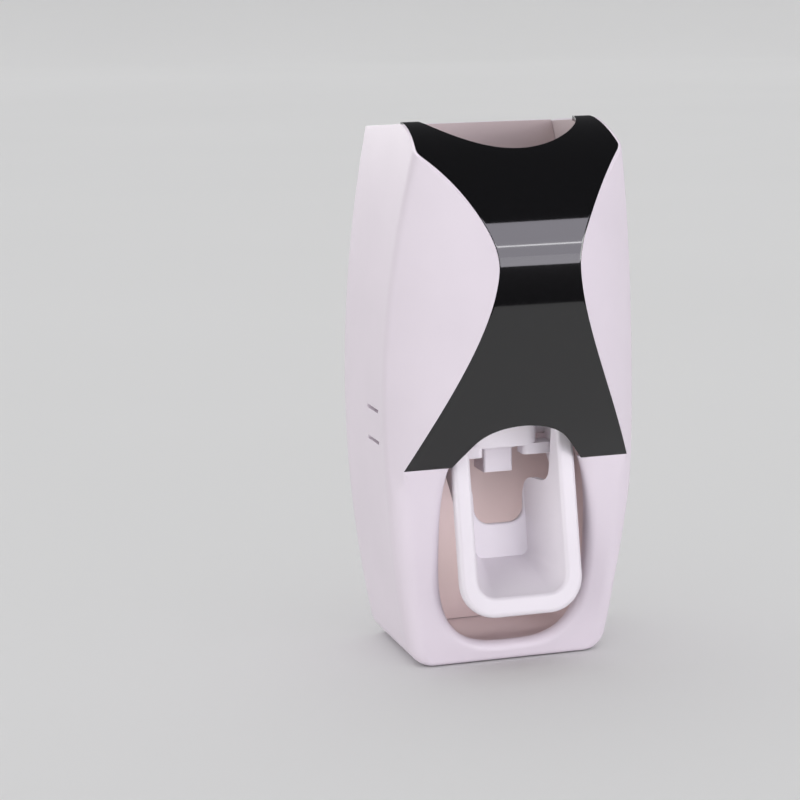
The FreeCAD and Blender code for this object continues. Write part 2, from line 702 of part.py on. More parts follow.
def make_outlet_valve():
    """Duckbill: a flanged tube pinched flat at its lower end."""
    top, low = BLOCK_Z + VALVE_FLANGE_T - 0.05, BLOCK_Z - NOZZLE[2] + 2.2
    flange = pump_rod(VALVE_FLANGE_R, BLOCK_Z, top)
    tube = pump_rod(CHANNEL_R - 0.2, low, BLOCK_Z + 0.1)
    wedges = []
    for s in (-1, 1):
        pts = [V(0, PUMP_Y + s * 0.45, low - 0.5), V(0, PUMP_Y + s * 6, low - 0.5),
               V(0, PUMP_Y + s * 6, BLOCK_Z - 0.8), V(0, PUMP_Y + s * CHANNEL_R, BLOCK_Z - 0.8)]
        wedges.append(profile_along_x(lines(pts + [pts[0]]), 6))
    bill = fuse([flange, tube.cut(wedges)])
    return bill.cut([pump_rod(CHANNEL_R - 1.0, BLOCK_Z - 1.2, top + 1),
                     box(-1.5, PUMP_Y - 0.1, low - 1, 1.5, PUMP_Y + 0.1, BLOCK_Z)])


def make_nozzle_cap():
    spout = rounded_block(0, PUMP_Y, NOZZLE, BLOCK_Z - NOZZLE[2], 0.7)
    rim = rounded_block(0, PUMP_Y, (10.2, 10.2, 1.0), BLOCK_Z - 1.0, 1.5)
    return fuse([spout, rim]).cut(pump_rod(CHANNEL_R + 0.1, BLOCK_Z - NOZZLE[2] - 1, BLOCK_Z + 1))


def make_return_spring():
    """Round-wire spring between the plunger block and the shelf."""
    radius = CYLINDER_R + 0.3 + WIRE_R
    low, high = BLOCK_TOP + WIRE_R, SHELF_Z - WIRE_R
    pitch = (high - low) / SPRING_TURNS

    def station(k):
        a = k * math.pi / 2
        at = V(radius * math.cos(a), PUMP_Y + radius * math.sin(a), low + pitch * k / 4)
        way = V(-radius * math.sin(a), radius * math.cos(a), pitch / (2 * math.pi))
        way.normalize()
        return at, way

    edges = []
    for k in range(int(4 * SPRING_TURNS)):
        edges += biarc(*station(k), *station(k + 1))
    path = Part.Wire(edges)
    points = path.discretize(Number=int(24 * SPRING_TURNS) + 1)
    nearest = min((q - p).Length for k, p in enumerate(points) for q in points[k + 12:])
    print("spring: least gap to itself %.2f mm" % (nearest - 2 * WIRE_R))
    start, way = station(0)
    out = V(1, 0, 0)
    up = way.cross(out)
    turns = [2 * math.pi * k / WIRE_SIDES for k in range(WIRE_SIDES + 1)]
    ring = Part.makePolygon([start + (out * math.cos(a) + up * math.sin(a)) * WIRE_R for a in turns])
    return path.makePipeShell([ring], True, False)


# Pusher

def u_outline(half, foot, top, radius, plain=False):
    """Closed outline in the XZ plane with a rounded foot and a square top."""
    k = radius * (1 - math.sqrt(0.5))
    right = [V(half, 0, top), V(half, 0, foot + radius)]
    turn = [V(half, 0, foot + radius), V(half - k, 0, foot + k), V(half - radius, 0, foot)]
    bend = lines if plain else lambda points: [arc(*points)]
    edges = lines(right) + bend(turn) + lines([turn[2], flip(turn[2])])
    edges += bend([flip(p) for p in reversed(turn)])
    edges += lines([flip(p) for p in reversed(right)]) + lines([flip(right[0]), right[0]])
    return Part.Wire(edges)


def at_depth(wire, depth):
    moved = wire.copy()
    moved.translate(V(0, depth, 0))
    return moved


def trough(halves, feet, depths, radii, plain=False):
    """Tapering channel between two depths behind the rim."""
    top = RIM_HIGH + 2
    ends = [at_depth(u_outline(half, foot, top, radius, plain), depth)
            for half, foot, depth, radius in zip(halves, feet, depths, radii)]
    return Part.makeLoft(ends, True, True)


def make_rim():
    outer = Part.Face(u_outline(RIM_HALF, 0, RIM_HIGH, RIM_R)).extrude(V(0, RIM_T, 0))
    inner = u_outline(RIM_HALF - RIM_SIDE, RIM_FOOT, RIM_HIGH + 5, RIM_R - RIM_SIDE)
    rim = outer.cut(at_depth(Part.Face(inner), -1).extrude(V(0, RIM_T + 2, 0)))
    front = [e for e in rim.Edges if all(abs(v.Point.y) < 1e-6 for v in e.Vertexes)]
    return rim.makeChamfer(RIM_EDGE, front)


def to_lean(shape):
    """Turn a solid drawn upright behind the rim into the leaning rest position."""
    lean = math.radians(LEAN_DEG)
    rise = PANEL_FOOT_Z - RIM_FOOT_Z
    shape.rotate(V(0, 0, 0), AX, -LEAN_DEG)
    shape.translate(V(0, RIM_SETBACK - PANEL_FOOT_DEPTH - rise * math.tan(lean), RIM_FOOT_Z))
    return shape


def make_scoop():
    """Rim, tapering trough and notched back, in the leaning position."""
    t = TROUGH_T
    half = RIM_HALF - RIM_SIDE
    r = RIM_R - RIM_SIDE
    slope = (half - TROUGH_BACK_HALF) / TROUGH_DEPTH
    feet = (RIM_FOOT, RIM_FOOT + TROUGH_RISE)
    outer = trough((half + t, TROUGH_BACK_HALF + t - slope * t), [f - t for f in feet],
                   (RIM_T - 1, TROUGH_DEPTH + t), (r + t, TROUGH_BACK_R + t), True)
    inner = trough((half, TROUGH_BACK_HALF), feet, (0.0, TROUGH_DEPTH), (r, TROUGH_BACK_R))
    top = box(-FAR, -FAR, RIM_HIGH, FAR, FAR, FAR)
    notch = u_outline(NOTCH_HALF, NOTCH_FOOT, RIM_HIGH + 5, 3.0)
    notch = at_depth(Part.Face(notch), TROUGH_DEPTH - 1.5).extrude(V(0, t + 3, 0))
    walls = outer.cut([inner, top, notch])
    return to_lean(fuse([walls, make_rim().cut(inner)]))


def relief():
    """Room for the plunger block behind the trough's front walls."""
    r = 3.0
    k = r * (1 - math.sqrt(0.5))
    a, b = V(0, RELIEF_Y, RELIEF_Z + r), V(0, RELIEF_Y + r, RELIEF_Z)
    edges = [arc(a, V(0, RELIEF_Y + k, RELIEF_Z + k), b)]
    edges += lines([b, V(0, 0, RELIEF_Z), V(0, 0, FAR), V(0, RELIEF_Y, FAR), a])
    return profile_along_x(edges, ARM_X[0])


def make_arm():
    """Forked arm with the pivot hub, drawn level and turned to the rest position."""
    thick = ARM_X[1] - ARM_X[0]
    end = LEVER + ARM_END
    hub = rod(ARM_HALF_HIGH, V(0, 0, 0), AX, thick)
    bar = box(0, 0, -ARM_HALF_HIGH, thick, end, ARM_HALF_HIGH)
    half = LUG_R + LUG_PLAY
    slot = box(-1, LEVER, -half, thick + 1, end + 1, half)
    slot = slot.fuse(rod(half, V(-1, LEVER - 0.4, 0), AX, thick + 2))
    slot = slot.fuse(box(-1, LEVER - 0.4, -half, thick + 1, LEVER + 1, half))
    arm = fuse([hub, bar]).cut([slot, rod(PIN_R + RUN, V(-1, 0, 0), AX, thick + 2)])
    arm.rotate(V(0, 0, 0), AX, -SWING_DEG / 2)
    arm.translate(V(ARM_X[0], PIVOT_Y, PIVOT_Z))
    return arm


def make_web():
    """Three-cornered web from the rim's back to the arm, outside the plunger's feet."""
    lean = math.tan(math.radians(LEAN_DEG))
    back = RIM_SETBACK - PANEL_FOOT_DEPTH + RIM_T - 0.6
    foot = V(ARM_X[0], back - (PANEL_FOOT_Z - WEB_FOOT_Z) * lean, WEB_FOOT_Z)
    head = V(ARM_X[0], back, PANEL_FOOT_Z)
    hub = V(ARM_X[0], PIVOT_Y, PIVOT_Z)
    end = V(ARM_X[0], PUMP_Y, LUG_Z - ARM_HALF_HIGH + 0.5)
    return Part.Face(Part.Wire(lines([foot, end, hub, head, foot]))).extrude(AX * WEB_T)


def make_pusher_scoop():
    scoop = make_scoop().cut(relief())
    hub_hole = both(rod(PIN_R + RUN, V(0, PIVOT_Y, PIVOT_Z), AX, FAR))
    return fuse([scoop] + both(make_arm()) + both(make_web())).cut(hub_hole)


PIECES = {
    "housing_shell": make_housing_shell,
    "front_panel": make_front_panel,
    "rear_cover": make_rear_cover,
    "cover_screws": make_cover_screws,
    "wall_plate": make_wall_plate,
    "adhesive_pad": make_adhesive_pad,
    "pump_frame": make_pump_frame,
    "hinge_pins": make_hinge_pins,
    "pump_cylinder": make_pump_cylinder,
    "flange_screws": make_flange_screws,
    "tube_seal": make_tube_seal,
    "seal_collar": make_seal_collar,
    "inlet_valve": make_inlet_valve,
    "plunger": make_plunger,
    "piston_seal": make_piston_seal,
    "seal_retainer": make_seal_retainer,
    "outlet_valve": make_outlet_valve,
    "nozzle_cap": make_nozzle_cap,
    "return_spring": make_return_spring,
    "pusher_scoop": make_pusher_scoop,
}

os.makedirs("parts", exist_ok=True)
for name, make in PIECES.items():
    solid = make()
    solid.translate(-ORIGIN)
    solid.exportStep("parts/%s.step" % name)
    print("%s: %d solids, %.0f mm3" % (name, len(solid.Solids), solid.Volume))
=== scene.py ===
# %% [markdown]
# A toothpaste dispenser
# The real thing is a moulded white case that hangs on a wall, with a bent gloss black panel in front, a
# mouth for an upturned tube at the top and a hinged scoop that a brush pushes in. The solid model gives
# the bodies, the joints and the box to fill, so the first step loads it.

# %% Load the solid model
import bpy
import bmesh
import math
from mathutils import Matrix, Vector


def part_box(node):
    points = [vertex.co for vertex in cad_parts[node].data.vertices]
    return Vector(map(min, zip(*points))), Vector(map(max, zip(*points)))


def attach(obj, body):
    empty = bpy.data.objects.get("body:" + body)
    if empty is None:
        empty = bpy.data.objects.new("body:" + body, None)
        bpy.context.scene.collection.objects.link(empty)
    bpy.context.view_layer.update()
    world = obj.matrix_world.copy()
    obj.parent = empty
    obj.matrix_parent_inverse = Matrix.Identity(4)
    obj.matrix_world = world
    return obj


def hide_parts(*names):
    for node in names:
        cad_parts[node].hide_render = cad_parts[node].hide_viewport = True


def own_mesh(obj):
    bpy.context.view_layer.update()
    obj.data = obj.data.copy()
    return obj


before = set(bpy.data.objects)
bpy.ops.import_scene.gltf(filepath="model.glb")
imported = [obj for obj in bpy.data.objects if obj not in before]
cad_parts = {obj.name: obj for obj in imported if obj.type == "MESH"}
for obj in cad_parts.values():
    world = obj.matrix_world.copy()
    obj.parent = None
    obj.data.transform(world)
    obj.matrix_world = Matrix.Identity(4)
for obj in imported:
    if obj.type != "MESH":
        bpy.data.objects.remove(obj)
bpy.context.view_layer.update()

# %% [markdown]
# ## One place to measure from
# The case is drawn in millimetres from its foot and its back edge, as a moulder's drawing would be. The
# housing's own box says where that corner lies in the frame, so nothing has to be fitted by hand.

# %% Measure from the foot and the back edge
MM = 0.001
case_low, case_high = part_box("housing_shell")


def at(x, y, z):
    """Point x across, y from the back edge (forward is minus) and z above the foot, in millimetres."""
    return Vector((x * MM, case_high[1] + y * MM, case_low[2] + z * MM))


def ease(t):
    """Soft step from 0 to 1."""
    t = min(max(t, 0.0), 1.0)
    return t * t * (3 - 2 * t)


print("foot corner", [round(v, 4) for v in at(0, 0, 0)])

# %% [markdown]
# ## The camera
# The photograph looks down a little from the left. A long lens keeps the case's sides nearly parallel, and
# the three turns below are the ones that bring the case's own edges onto the picture's.

# %% Stand the camera
SENSOR, LENS = 36, 103.43
CAMERA_AT = (-0.18648, -0.57170, 0.09255)
CAMERA_TURNS = ((-16.5, "Z"), (79.105, "X"), (-0.952, "Z"))
cam_data = bpy.data.cameras.new("camera")
cam_data.sensor_width = SENSOR
cam_data.lens = LENS
camera = bpy.data.objects.new("camera", cam_data)
bpy.context.scene.collection.objects.link(camera)
stand = Matrix.Translation(CAMERA_AT)
for degrees, axis in CAMERA_TURNS:
    stand = stand @ Matrix.Rotation(math.radians(degrees), 4, axis)
camera.matrix_world = stand
bpy.context.scene.camera = camera
print("camera at", [round(v, 3) for v in camera.location])

# %% [markdown]
# ## Moulded plastic
# Satin ABS is not one flat white. Its colour drifts by a hair over centimetres, and a spark-eroded mould
# leaves a very fine grain that makes the gloss uneven. Noise in object space gives both at true size, and
# the same recipe with other numbers serves the scoop, the pump and the silicone.

# %% A recipe for moulded plastic
PLASTIC_IOR, DRIFT_SCALE, DRIFT_ENDS = 1.5, 45, (0.3, 0.7)
GRAIN_SIZE, GRAIN_DEPTH, GLOSS_SPREAD = 0.35, 0.05, 0.05
CASE_COLOUR = (0.755, 0.685, 0.75)


def tinted(colour, factor):
    """The colour, lighter or darker by a factor."""
    return tuple(min(c * factor, 1.0) for c in colour[:3]) + (1.0,)


def moulded(name, colour, rough, drift=0.02, grain=0.05):
    """Plastic with a slow colour drift, a fine mould grain and an uneven gloss."""
    mat = bpy.data.materials.new(name)
    mat.use_nodes = True
    nodes, links = mat.node_tree.nodes, mat.node_tree.links
    shader = nodes["Principled BSDF"]
    shader.inputs["IOR"].default_value = PLASTIC_IOR
    place = nodes.new("ShaderNodeTexCoord")
    slow = nodes.new("ShaderNodeTexNoise")
    slow.inputs["Scale"].default_value = DRIFT_SCALE
    slow.inputs["Detail"].default_value = 3
    links.new(place.outputs["Object"], slow.inputs["Vector"])
    ramp = nodes.new("ShaderNodeValToRGB")
    for stop, end, factor in zip(ramp.color_ramp.elements, DRIFT_ENDS, (1 - drift, 1 + drift)):
        stop.position = end
        stop.color = tinted(colour, factor)
    links.new(slow.outputs["Fac"], ramp.inputs["Fac"])
    links.new(ramp.outputs["Color"], shader.inputs["Base Color"])
    fine = nodes.new("ShaderNodeTexNoise")
    fine.inputs["Scale"].default_value = 1 / (GRAIN_SIZE * MM)
    fine.inputs["Detail"].default_value = 2
    links.new(place.outputs["Object"], fine.inputs["Vector"])
    gloss = nodes.new("ShaderNodeMapRange")
    gloss.inputs["To Min"].default_value = rough - GLOSS_SPREAD
    gloss.inputs["To Max"].default_value = rough + GLOSS_SPREAD
    links.new(fine.outputs["Fac"], gloss.inputs["Value"])
    links.new(gloss.outputs["Result"], shader.inputs["Roughness"])
    bump = nodes.new("ShaderNodeBump")
    bump.inputs["Strength"].default_value = grain
    bump.inputs["Distance"].default_value = GRAIN_DEPTH * MM
    links.new(fine.outputs["Fac"], bump.inputs["Height"])
    links.new(bump.outputs["Normal"], shader.inputs["Normal"])
    return mat


case_white = moulded("case_white", CASE_COLOUR, 0.40)
# Painted shade: the inside of the case gets a warmer, darker white that stands for the shade inside the
# hollow case.
case_inside_shade = moulded("case_inside_shade", (0.75, 0.645, 0.655), 0.50)
scoop_white = moulded("scoop_white", (0.80, 0.755, 0.80), 0.36)
pump_white = moulded("pump_white", (0.80, 0.76, 0.80), 0.42)
print("plastics", [m.name for m in (case_white, case_inside_shade, scoop_white, pump_white)])

# %% [markdown]
# ## The other finishes
# The panel is piano black: a dark core under a hard clear coat, with a trace of polishing marks that only
# the reflections give away. Silicone is milky and lets light in, the spring and screws are plated steel,
# and the wall pad is open-cell foam.

# %% Gloss black, silicone, steel and foam
POLISH_SCALE, DRAWN_SCALE, CELL_SCALE = 900, 2500, 2200


def finish_nodes(name):
    """A new material with its shader, its object coordinates and a helper to join sockets."""
    mat = bpy.data.materials.new(name)
    mat.use_nodes = True
    nodes = mat.node_tree.nodes
    place = nodes.new("ShaderNodeTexCoord")
    return mat, nodes, mat.node_tree.links.new, nodes["Principled BSDF"], place.outputs["Object"]


panel_black, nodes, join, shader, place = finish_nodes("panel_black")
shader.inputs["IOR"].default_value = 1.6
shader.inputs["Coat Weight"].default_value = 0.3
shader.inputs["Coat Roughness"].default_value = 0.03
polish = nodes.new("ShaderNodeTexNoise")
polish.inputs["Scale"].default_value = POLISH_SCALE
polish.inputs["Detail"].default_value = 4
join(place, polish.inputs["Vector"])
core = nodes.new("ShaderNodeValToRGB")
core.color_ramp.elements[0].color = (0.0022, 0.0022, 0.0026, 1)
core.color_ramp.elements[1].color = (0.0045, 0.0043, 0.0050, 1)
join(polish.outputs["Fac"], core.inputs["Fac"])
join(core.outputs["Color"], shader.inputs["Base Color"])
marks = nodes.new("ShaderNodeMapRange")
marks.inputs["To Min"].default_value = 0.03
marks.inputs["To Max"].default_value = 0.09
join(polish.outputs["Fac"], marks.inputs["Value"])
join(marks.outputs["Result"], shader.inputs["Roughness"])

silicone = moulded("silicone", (0.72, 0.72, 0.70), 0.5, drift=0.03, grain=0.03)
silicone.node_tree.nodes["Principled BSDF"].inputs["Subsurface Weight"].default_value = 0.25
silicone.node_tree.nodes["Principled BSDF"].inputs["Subsurface Scale"].default_value = 1.5 * MM

steel, nodes, join, shader, place = finish_nodes("steel")
shader.inputs["Metallic"].default_value = 1.0
drawn = nodes.new("ShaderNodeTexNoise")
drawn.inputs["Scale"].default_value = DRAWN_SCALE
drawn.inputs["Detail"].default_value = 3
join(place, drawn.inputs["Vector"])
plate = nodes.new("ShaderNodeValToRGB")
plate.color_ramp.elements[0].color = (0.50, 0.50, 0.51, 1)
plate.color_ramp.elements[1].color = (0.68, 0.68, 0.69, 1)
join(drawn.outputs["Fac"], plate.inputs["Fac"])
join(plate.outputs["Color"], shader.inputs["Base Color"])
wire_gloss = nodes.new("ShaderNodeMapRange")
wire_gloss.inputs["To Min"].default_value = 0.2
wire_gloss.inputs["To Max"].default_value = 0.4
join(drawn.outputs["Fac"], wire_gloss.inputs["Value"])
join(wire_gloss.outputs["Result"], shader.inputs["Roughness"])

foam, nodes, join, shader, place = finish_nodes("foam")
shader.inputs["Roughness"].default_value = 0.95
cells = nodes.new("ShaderNodeTexVoronoi")
cells.inputs["Scale"].default_value = CELL_SCALE
join(place, cells.inputs["Vector"])
# Painted shade: the foam is darker at the bottom of each pore, where the bump dips.
pore_shade = nodes.new("ShaderNodeValToRGB")
pore_shade.color_ramp.elements[0].color = (0.62, 0.62, 0.60, 1)
pore_shade.color_ramp.elements[1].position = 0.6
pore_shade.color_ramp.elements[1].color = (0.80, 0.80, 0.78, 1)
join(cells.outputs["Distance"], pore_shade.inputs["Fac"])
join(pore_shade.outputs["Color"], shader.inputs["Base Color"])
pitted = nodes.new("ShaderNodeBump")
pitted.inputs["Strength"].default_value = 0.5
pitted.inputs["Distance"].default_value = 0.1 * MM
join(cells.outputs["Distance"], pitted.inputs["Height"])
join(pitted.outputs["Normal"], shader.inputs["Normal"])
print("finishes", panel_black.name, silicone.name, steel.name, foam.name)

# %% [markdown]
# ## Painted shade on the rear cover
# The cover is white behind. Its front face, which shows through the opening, is painted a warmer, darker
# tone that stands for the shade inside the case. The way a face looks tells the two apart.

# %% Paint shade onto the cover's inner face
# Painted shade: faces that look forward, into the case, get this warmer, darker colour.
COVER_INSIDE_SHADE = (0.74, 0.62, 0.62, 1)
cover_white_and_shade = moulded("cover_white_and_shade", CASE_COLOUR, 0.45)
nodes, join = cover_white_and_shade.node_tree.nodes, cover_white_and_shade.node_tree.links.new
outer = next(n for n in nodes if n.bl_idname == "ShaderNodeValToRGB")
facing = nodes.new("ShaderNodeNewGeometry")
axes = nodes.new("ShaderNodeSeparateXYZ")
join(facing.outputs["Normal"], axes.inputs["Vector"])
inside = nodes.new("ShaderNodeMapRange")
inside.inputs["From Min"].default_value = -0.3
inside.inputs["From Max"].default_value = -0.6
join(axes.outputs["Y"], inside.inputs["Value"])
shade_mix = nodes.new("ShaderNodeMix")
shade_mix.data_type = "RGBA"
shade_mix.inputs["B"].default_value = COVER_INSIDE_SHADE
join(inside.outputs["Result"], shade_mix.inputs["Factor"])
join(outer.outputs["Color"], shade_mix.inputs["A"])
join(shade_mix.outputs["Result"], nodes["Principled BSDF"].inputs["Base Color"])
print("cover finish", cover_white_and_shade.name)

# %% [markdown]
# ## Pieces from points
# Each moulding below is worked out as rows of points and skinned with four-sided faces, because even rows
# are what keeps a gloss surface's reflections calm. One helper makes the mesh, welds it, gives it its
# material and lets it ride on the body that carries it.

# %% A helper for new pieces
WELD, MERGE, THIN_SHARE = 0.002, 0.01, 0.08


def skin(rows, closed=False):
    """Faces between rows of equal length, whose points are numbered row after row."""
    count = len(rows[0])
    faces = []
    for r in range(len(rows) - 1):
        for c in range(count if closed else count - 1):
            a, b = r * count + c, r * count + (c + 1) % count
            faces.append((a, b, b + count, a + count))
    return faces


def piece(name, points, faces, body, slot, mat, nodes=(), thin=()):
    """A smooth mesh piece that stands for the named nodes and rides on a body; thin points get a weight."""
    mesh = bpy.data.meshes.new(name)
    mesh.from_pydata([tuple(p) for p in points], [], faces)
    bm = bmesh.new()
    bm.from_mesh(mesh)
    if thin:
        weight = bm.verts.layers.deform.verify()
        for vert in bm.verts:
            vert[weight][0] = THIN_SHARE if vert.index in thin else 1.0
    bmesh.ops.remove_doubles(bm, verts=bm.verts, dist=WELD * MM)
    bmesh.ops.recalc_face_normals(bm, faces=bm.faces)
    for face in bm.faces:
        face.smooth = True
    bm.to_mesh(mesh)
    bm.free()
    mesh.materials.append(mat)
    obj = bpy.data.objects.new(name, mesh)
    bpy.context.scene.collection.objects.link(obj)
    if thin:
        obj.vertex_groups.new(name="wall")
    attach(obj, body)
    if nodes:
        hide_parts(*nodes)
    return obj


def add_modifier(obj, kind, **settings):
    """A modifier with its settings."""
    mod = obj.modifiers.new(kind.lower(), kind)
    for key, value in settings.items():
        setattr(mod, key, value)
    return mod


def soften(obj, width, segments, degrees):
    """Round those edges of a piece that are sharper than an angle."""
    add_modifier(obj, "BEVEL", width=width * MM, segments=segments, limit_method="ANGLE",
                 angle_limit=math.radians(degrees))


def mesh_parts(mesh):
    """Points and faces of a mesh."""
    return [v.co for v in mesh.vertices], [tuple(p.vertices) for p in mesh.polygons]


def face_outward(obj, toward):
    """Turn all faces if the first one looks away from the given direction."""
    if obj.data.polygons[0].normal.dot(Vector(toward)) < 0:
        obj.data.flip_normals()


print("points closer than", WELD, "mm are welded")

# %% [markdown]
# ## The case's plan section
# Cut level, one half of the case is three lines: a nearly straight side, a soft edge and the broad lobe
# that runs forward to the black panel. The side line moves in and out with height, as a barrel does, and
# the lobe is one and the same large circle at every height, so only the side has to be worked out anew.

# %% Side, soft edge and lobe
HEIGHT, HALF_WIDTH, WIDEST_Z, FOOT_HALF, TOP_HALF = 137, 33, 66, 25.8, 25.5
SIDE_DRAFT, SOFT_R, LOBE_R = 0.002, 4.5, 74
SOFT_STEPS, LOBE_STEPS = 12, 80
PANEL_FOOT = Vector((29.5, -40.6))
WAIST = Vector((10.4, -58.4))
chord = WAIST - PANEL_FOOT
inward = Vector((chord.y, -chord.x)).normalized()
LOBE_C = (PANEL_FOOT + WAIST) / 2 + inward * math.sqrt(LOBE_R ** 2 - chord.length_squared / 4)


def half_width(z):
    """Half the width at the back edge, z above the foot."""
    end, half = (HEIGHT, TOP_HALF) if z > WIDEST_Z else (0, FOOT_HALF)
    return HALF_WIDTH - (HALF_WIDTH - half) * ((z - WIDEST_Z) / (end - WIDEST_Z)) ** 2


def plan_path(z, inset=0):
    """Right-hand plan section at height z, from the back edge forward to the middle."""
    soft, lobe = SOFT_R - inset, LOBE_R - inset
    lean = math.hypot(1, SIDE_DRAFT)
    side = half_width(z) - inset * lean
    across = side - soft * lean - LOBE_C.x
    b = across * SIDE_DRAFT - LOBE_C.y
    c = across ** 2 + LOBE_C.y ** 2 - (lobe - soft) ** 2
    y = (-b - math.sqrt(b * b - lean * lean * c)) / (lean * lean)
    middle = Vector((side - soft * lean + SIDE_DRAFT * y, y))
    from_side = math.atan2(-SIDE_DRAFT, 1)
    to_lobe = math.atan2(middle.y - LOBE_C.y, middle.x - LOBE_C.x)
    to_nose = -math.acos(-LOBE_C.x / lobe)
    path = [Vector((side, 0))]
    for k in range(SOFT_STEPS + 1):
        a = from_side + (to_lobe - from_side) * k / SOFT_STEPS
        path.append(middle + soft * Vector((math.cos(a), math.sin(a))))
    for k in range(1, LOBE_STEPS + 1):
        a = to_lobe + (to_nose - to_lobe) * k / LOBE_STEPS
        path.append(LOBE_C + lobe * Vector((math.cos(a), math.sin(a))))
    return path


print("lobe centre", [round(v, 2) for v in LOBE_C])

# %% [markdown]
# ## Walking along a section
# Rows of a clean surface need the same number of points, evenly spread. These helpers cut a section
# between two depths and spread points along what is left.

# %% Cut and spread a path


def on_path(path, y):
    """Point of a path whose y falls steadily."""
    for a, b in zip(path, path[1:]):
        if a.y >= y >= b.y and a.y > b.y:
            return a.lerp(b, (a.y - y) / (a.y - b.y))
    return path[-1].copy() if y < path[-1].y else path[0].copy()


def cut(path, y_from, y_to):
    """The part of a path between two depths."""
    return [on_path(path, y_from)] + [p for p in path if y_to < p.y < y_from] + [on_path(path, y_to)]


def spread(path, count, leave=0.0):
    """Points at even distances along a path, short of its end by a given length."""
    run = [0.0]
    for a, b in zip(path, path[1:]):
        run.append(run[-1] + (b - a).length)
    points, i = [], 0
    for k in range(count):
        want = (run[-1] - leave) * k / (count - 1)
        while i < len(path) - 2 and run[i + 1] < want:
            i += 1
        points.append(path[i].lerp(path[i + 1], (want - run[i]) / max(run[i + 1] - run[i], 1e-9)))
    return points


widest = plan_path(WIDEST_Z)
print("widest half section", round(sum((b - a).length for a, b in zip(widest, widest[1:])), 1), "mm")

# %% [markdown]
# ## The belly line
# Seen from the side, the panel swells out of the leaning lower face, turns round its shoulder and ends at
# the filling mouth. One number from 0 at the panel's foot to 2 at the mouth walks along that line, with 1
# at the belly.

# %% The panel's side view
PANEL_FOOT_Z, BELLY_Z, BELLY_DEPTH, HORN_DEPTH = 52.5, 104, 58.4, 26.5
LOWER_BEND, UPPER_ROUND = 1.7, 1.85
REAR_TOP, HORN_STEP, NUDGE = 134.4, 0.5, 0.01


def belly(u):
    """Depth and height on the panel's side view."""
    if u < 1:
        swell = (BELLY_DEPTH + PANEL_FOOT.y) * (1 - u) ** LOWER_BEND
        return BELLY_DEPTH - swell, PANEL_FOOT_Z + (BELLY_Z - PANEL_FOOT_Z) * u
    a, power = (u - 1) * math.pi / 2, 2 / UPPER_ROUND
    depth = HORN_DEPTH + (BELLY_DEPTH - HORN_DEPTH) * max(math.cos(a), 0) ** power
    return depth, BELLY_Z + (HEIGHT - BELLY_Z) * math.sin(a) ** power


def belly_inward(u):
    """Direction into the case, square to the panel, as y and z."""
    (d0, z0), (d1, z1) = belly(max(u - NUDGE, 0)), belly(min(u + NUDGE, 2))
    along = Vector((d0 - d1, z1 - z0)).normalized()
    return Vector((along.y, -along.x))


def u_at_height(z):
    """Where the lower part of the belly line passes a height."""
    return (z - PANEL_FOOT_Z) / (BELLY_Z - PANEL_FOOT_Z)


print("belly", belly(1), "shoulder", [round(v, 1) for v in belly(1.5)])

# %% [markdown]
# ## The upper case
# Each row is one level section: a side block with columns at fixed depths, so that the two slits on each
# side fall between columns, and then the soft edge and lobe. The last points roll over a small radius and
# go down beside the panel, which gives the thin bright line along the panel's edge.

# %% Rows of the upper case
SLITS = ((57.55, 58.45), (65.55, 66.45))
SLIT_BACK, SLIT_FRONT, SLIT_CLEAR = 21.2, 30.8, 0.5
SIDE_COLUMNS = (0, 0.12, 0.3, 0.5, SLIT_BACK / SLIT_FRONT, 0.79, 0.9, 1)
SIDE_SHARE = 0.75
SLIT_COLUMNS = (4, 7)
LOBE_COLUMNS, PANEL_BAND, HORN_BAND, HORN_FROM, HORN_RUN = 46, 0.06, 0.7, 1.2, 0.35
ROLL, ROLL_SHARE, ROLL_STEPS, SEAT_STEPS = 0.3, 0.3, 5, (0.5, 1.8)
LOWER_ROWS, SHOULDER_ROWS, SHOULDER_END = 44, 40, 0.91


def panel_band(u):
    """How far the panel's edge stays inside the case's skin, more at the horns."""
    return PANEL_BAND + (HORN_BAND - PANEL_BAND) * ease((u - HORN_FROM) / HORN_RUN)


def side_start(z):
    """Where the case's rim cuts a level section."""
    rise = HEIGHT - HORN_STEP - REAR_TOP
    return -HORN_DEPTH * min(max((z - REAR_TOP) / rise, 0), 1)


def wall_columns(path, y0, y1, leave=0.0):
    """The side block and the lobe block of one row."""
    y_side = y0 - min(SLIT_FRONT + y0, SIDE_SHARE * (y0 - y1))
    side = [on_path(path, y0 + (y_side - y0) * f) for f in SIDE_COLUMNS]
    return side + spread(cut(path, y_side, y1), LOBE_COLUMNS, leave)[1:]


def upper_row(u):
    """One level row of the right half, from the back edge to the seat beside the panel."""
    depth, z = belly(u)
    path = plan_path(z)
    edge = on_path(path, -depth)
    seat_x = on_path(plan_path(z, panel_band(u)), -depth).x
    y0 = side_start(z)
    roll = min(ROLL, ROLL_SHARE * (depth + y0))
    row = wall_columns(path, y0, -depth, roll)
    start, end = row[-1], Vector((seat_x, -depth))
    points = [at(p.x, p.y, z) for p in row]
    for k in range(1, ROLL_STEPS + 1):
        t = k / ROLL_STEPS
        p = start.lerp(edge, t).lerp(edge.lerp(end, t), t)
        points.append(at(p.x, p.y, z))
    into = belly_inward(u)
    for down in SEAT_STEPS:
        points.append(at(end.x, end.y + into.x * down, z + into.y * down))
    return points


rim_u = 1 + math.asin(((REAR_TOP - BELLY_Z) / (HEIGHT - BELLY_Z)) ** (UPPER_ROUND / 2)) * 2 / math.pi
stations = {k / LOWER_ROWS for k in range(LOWER_ROWS)} | {rim_u}
stations |= {1 + k / SHOULDER_ROWS * SHOULDER_END for k in range(SHOULDER_ROWS + 1)}
for low, high in SLITS:
    near_slit = (u_at_height(low - SLIT_CLEAR), u_at_height(high + SLIT_CLEAR))
    stations = {u for u in stations if not near_slit[0] < u < near_slit[1]}
    stations |= {u_at_height(low), u_at_height(high)}
stations = sorted(stations)
upper = [upper_row(u) for u in stations]
print(len(upper), "rows of", len(upper[0]), "points")

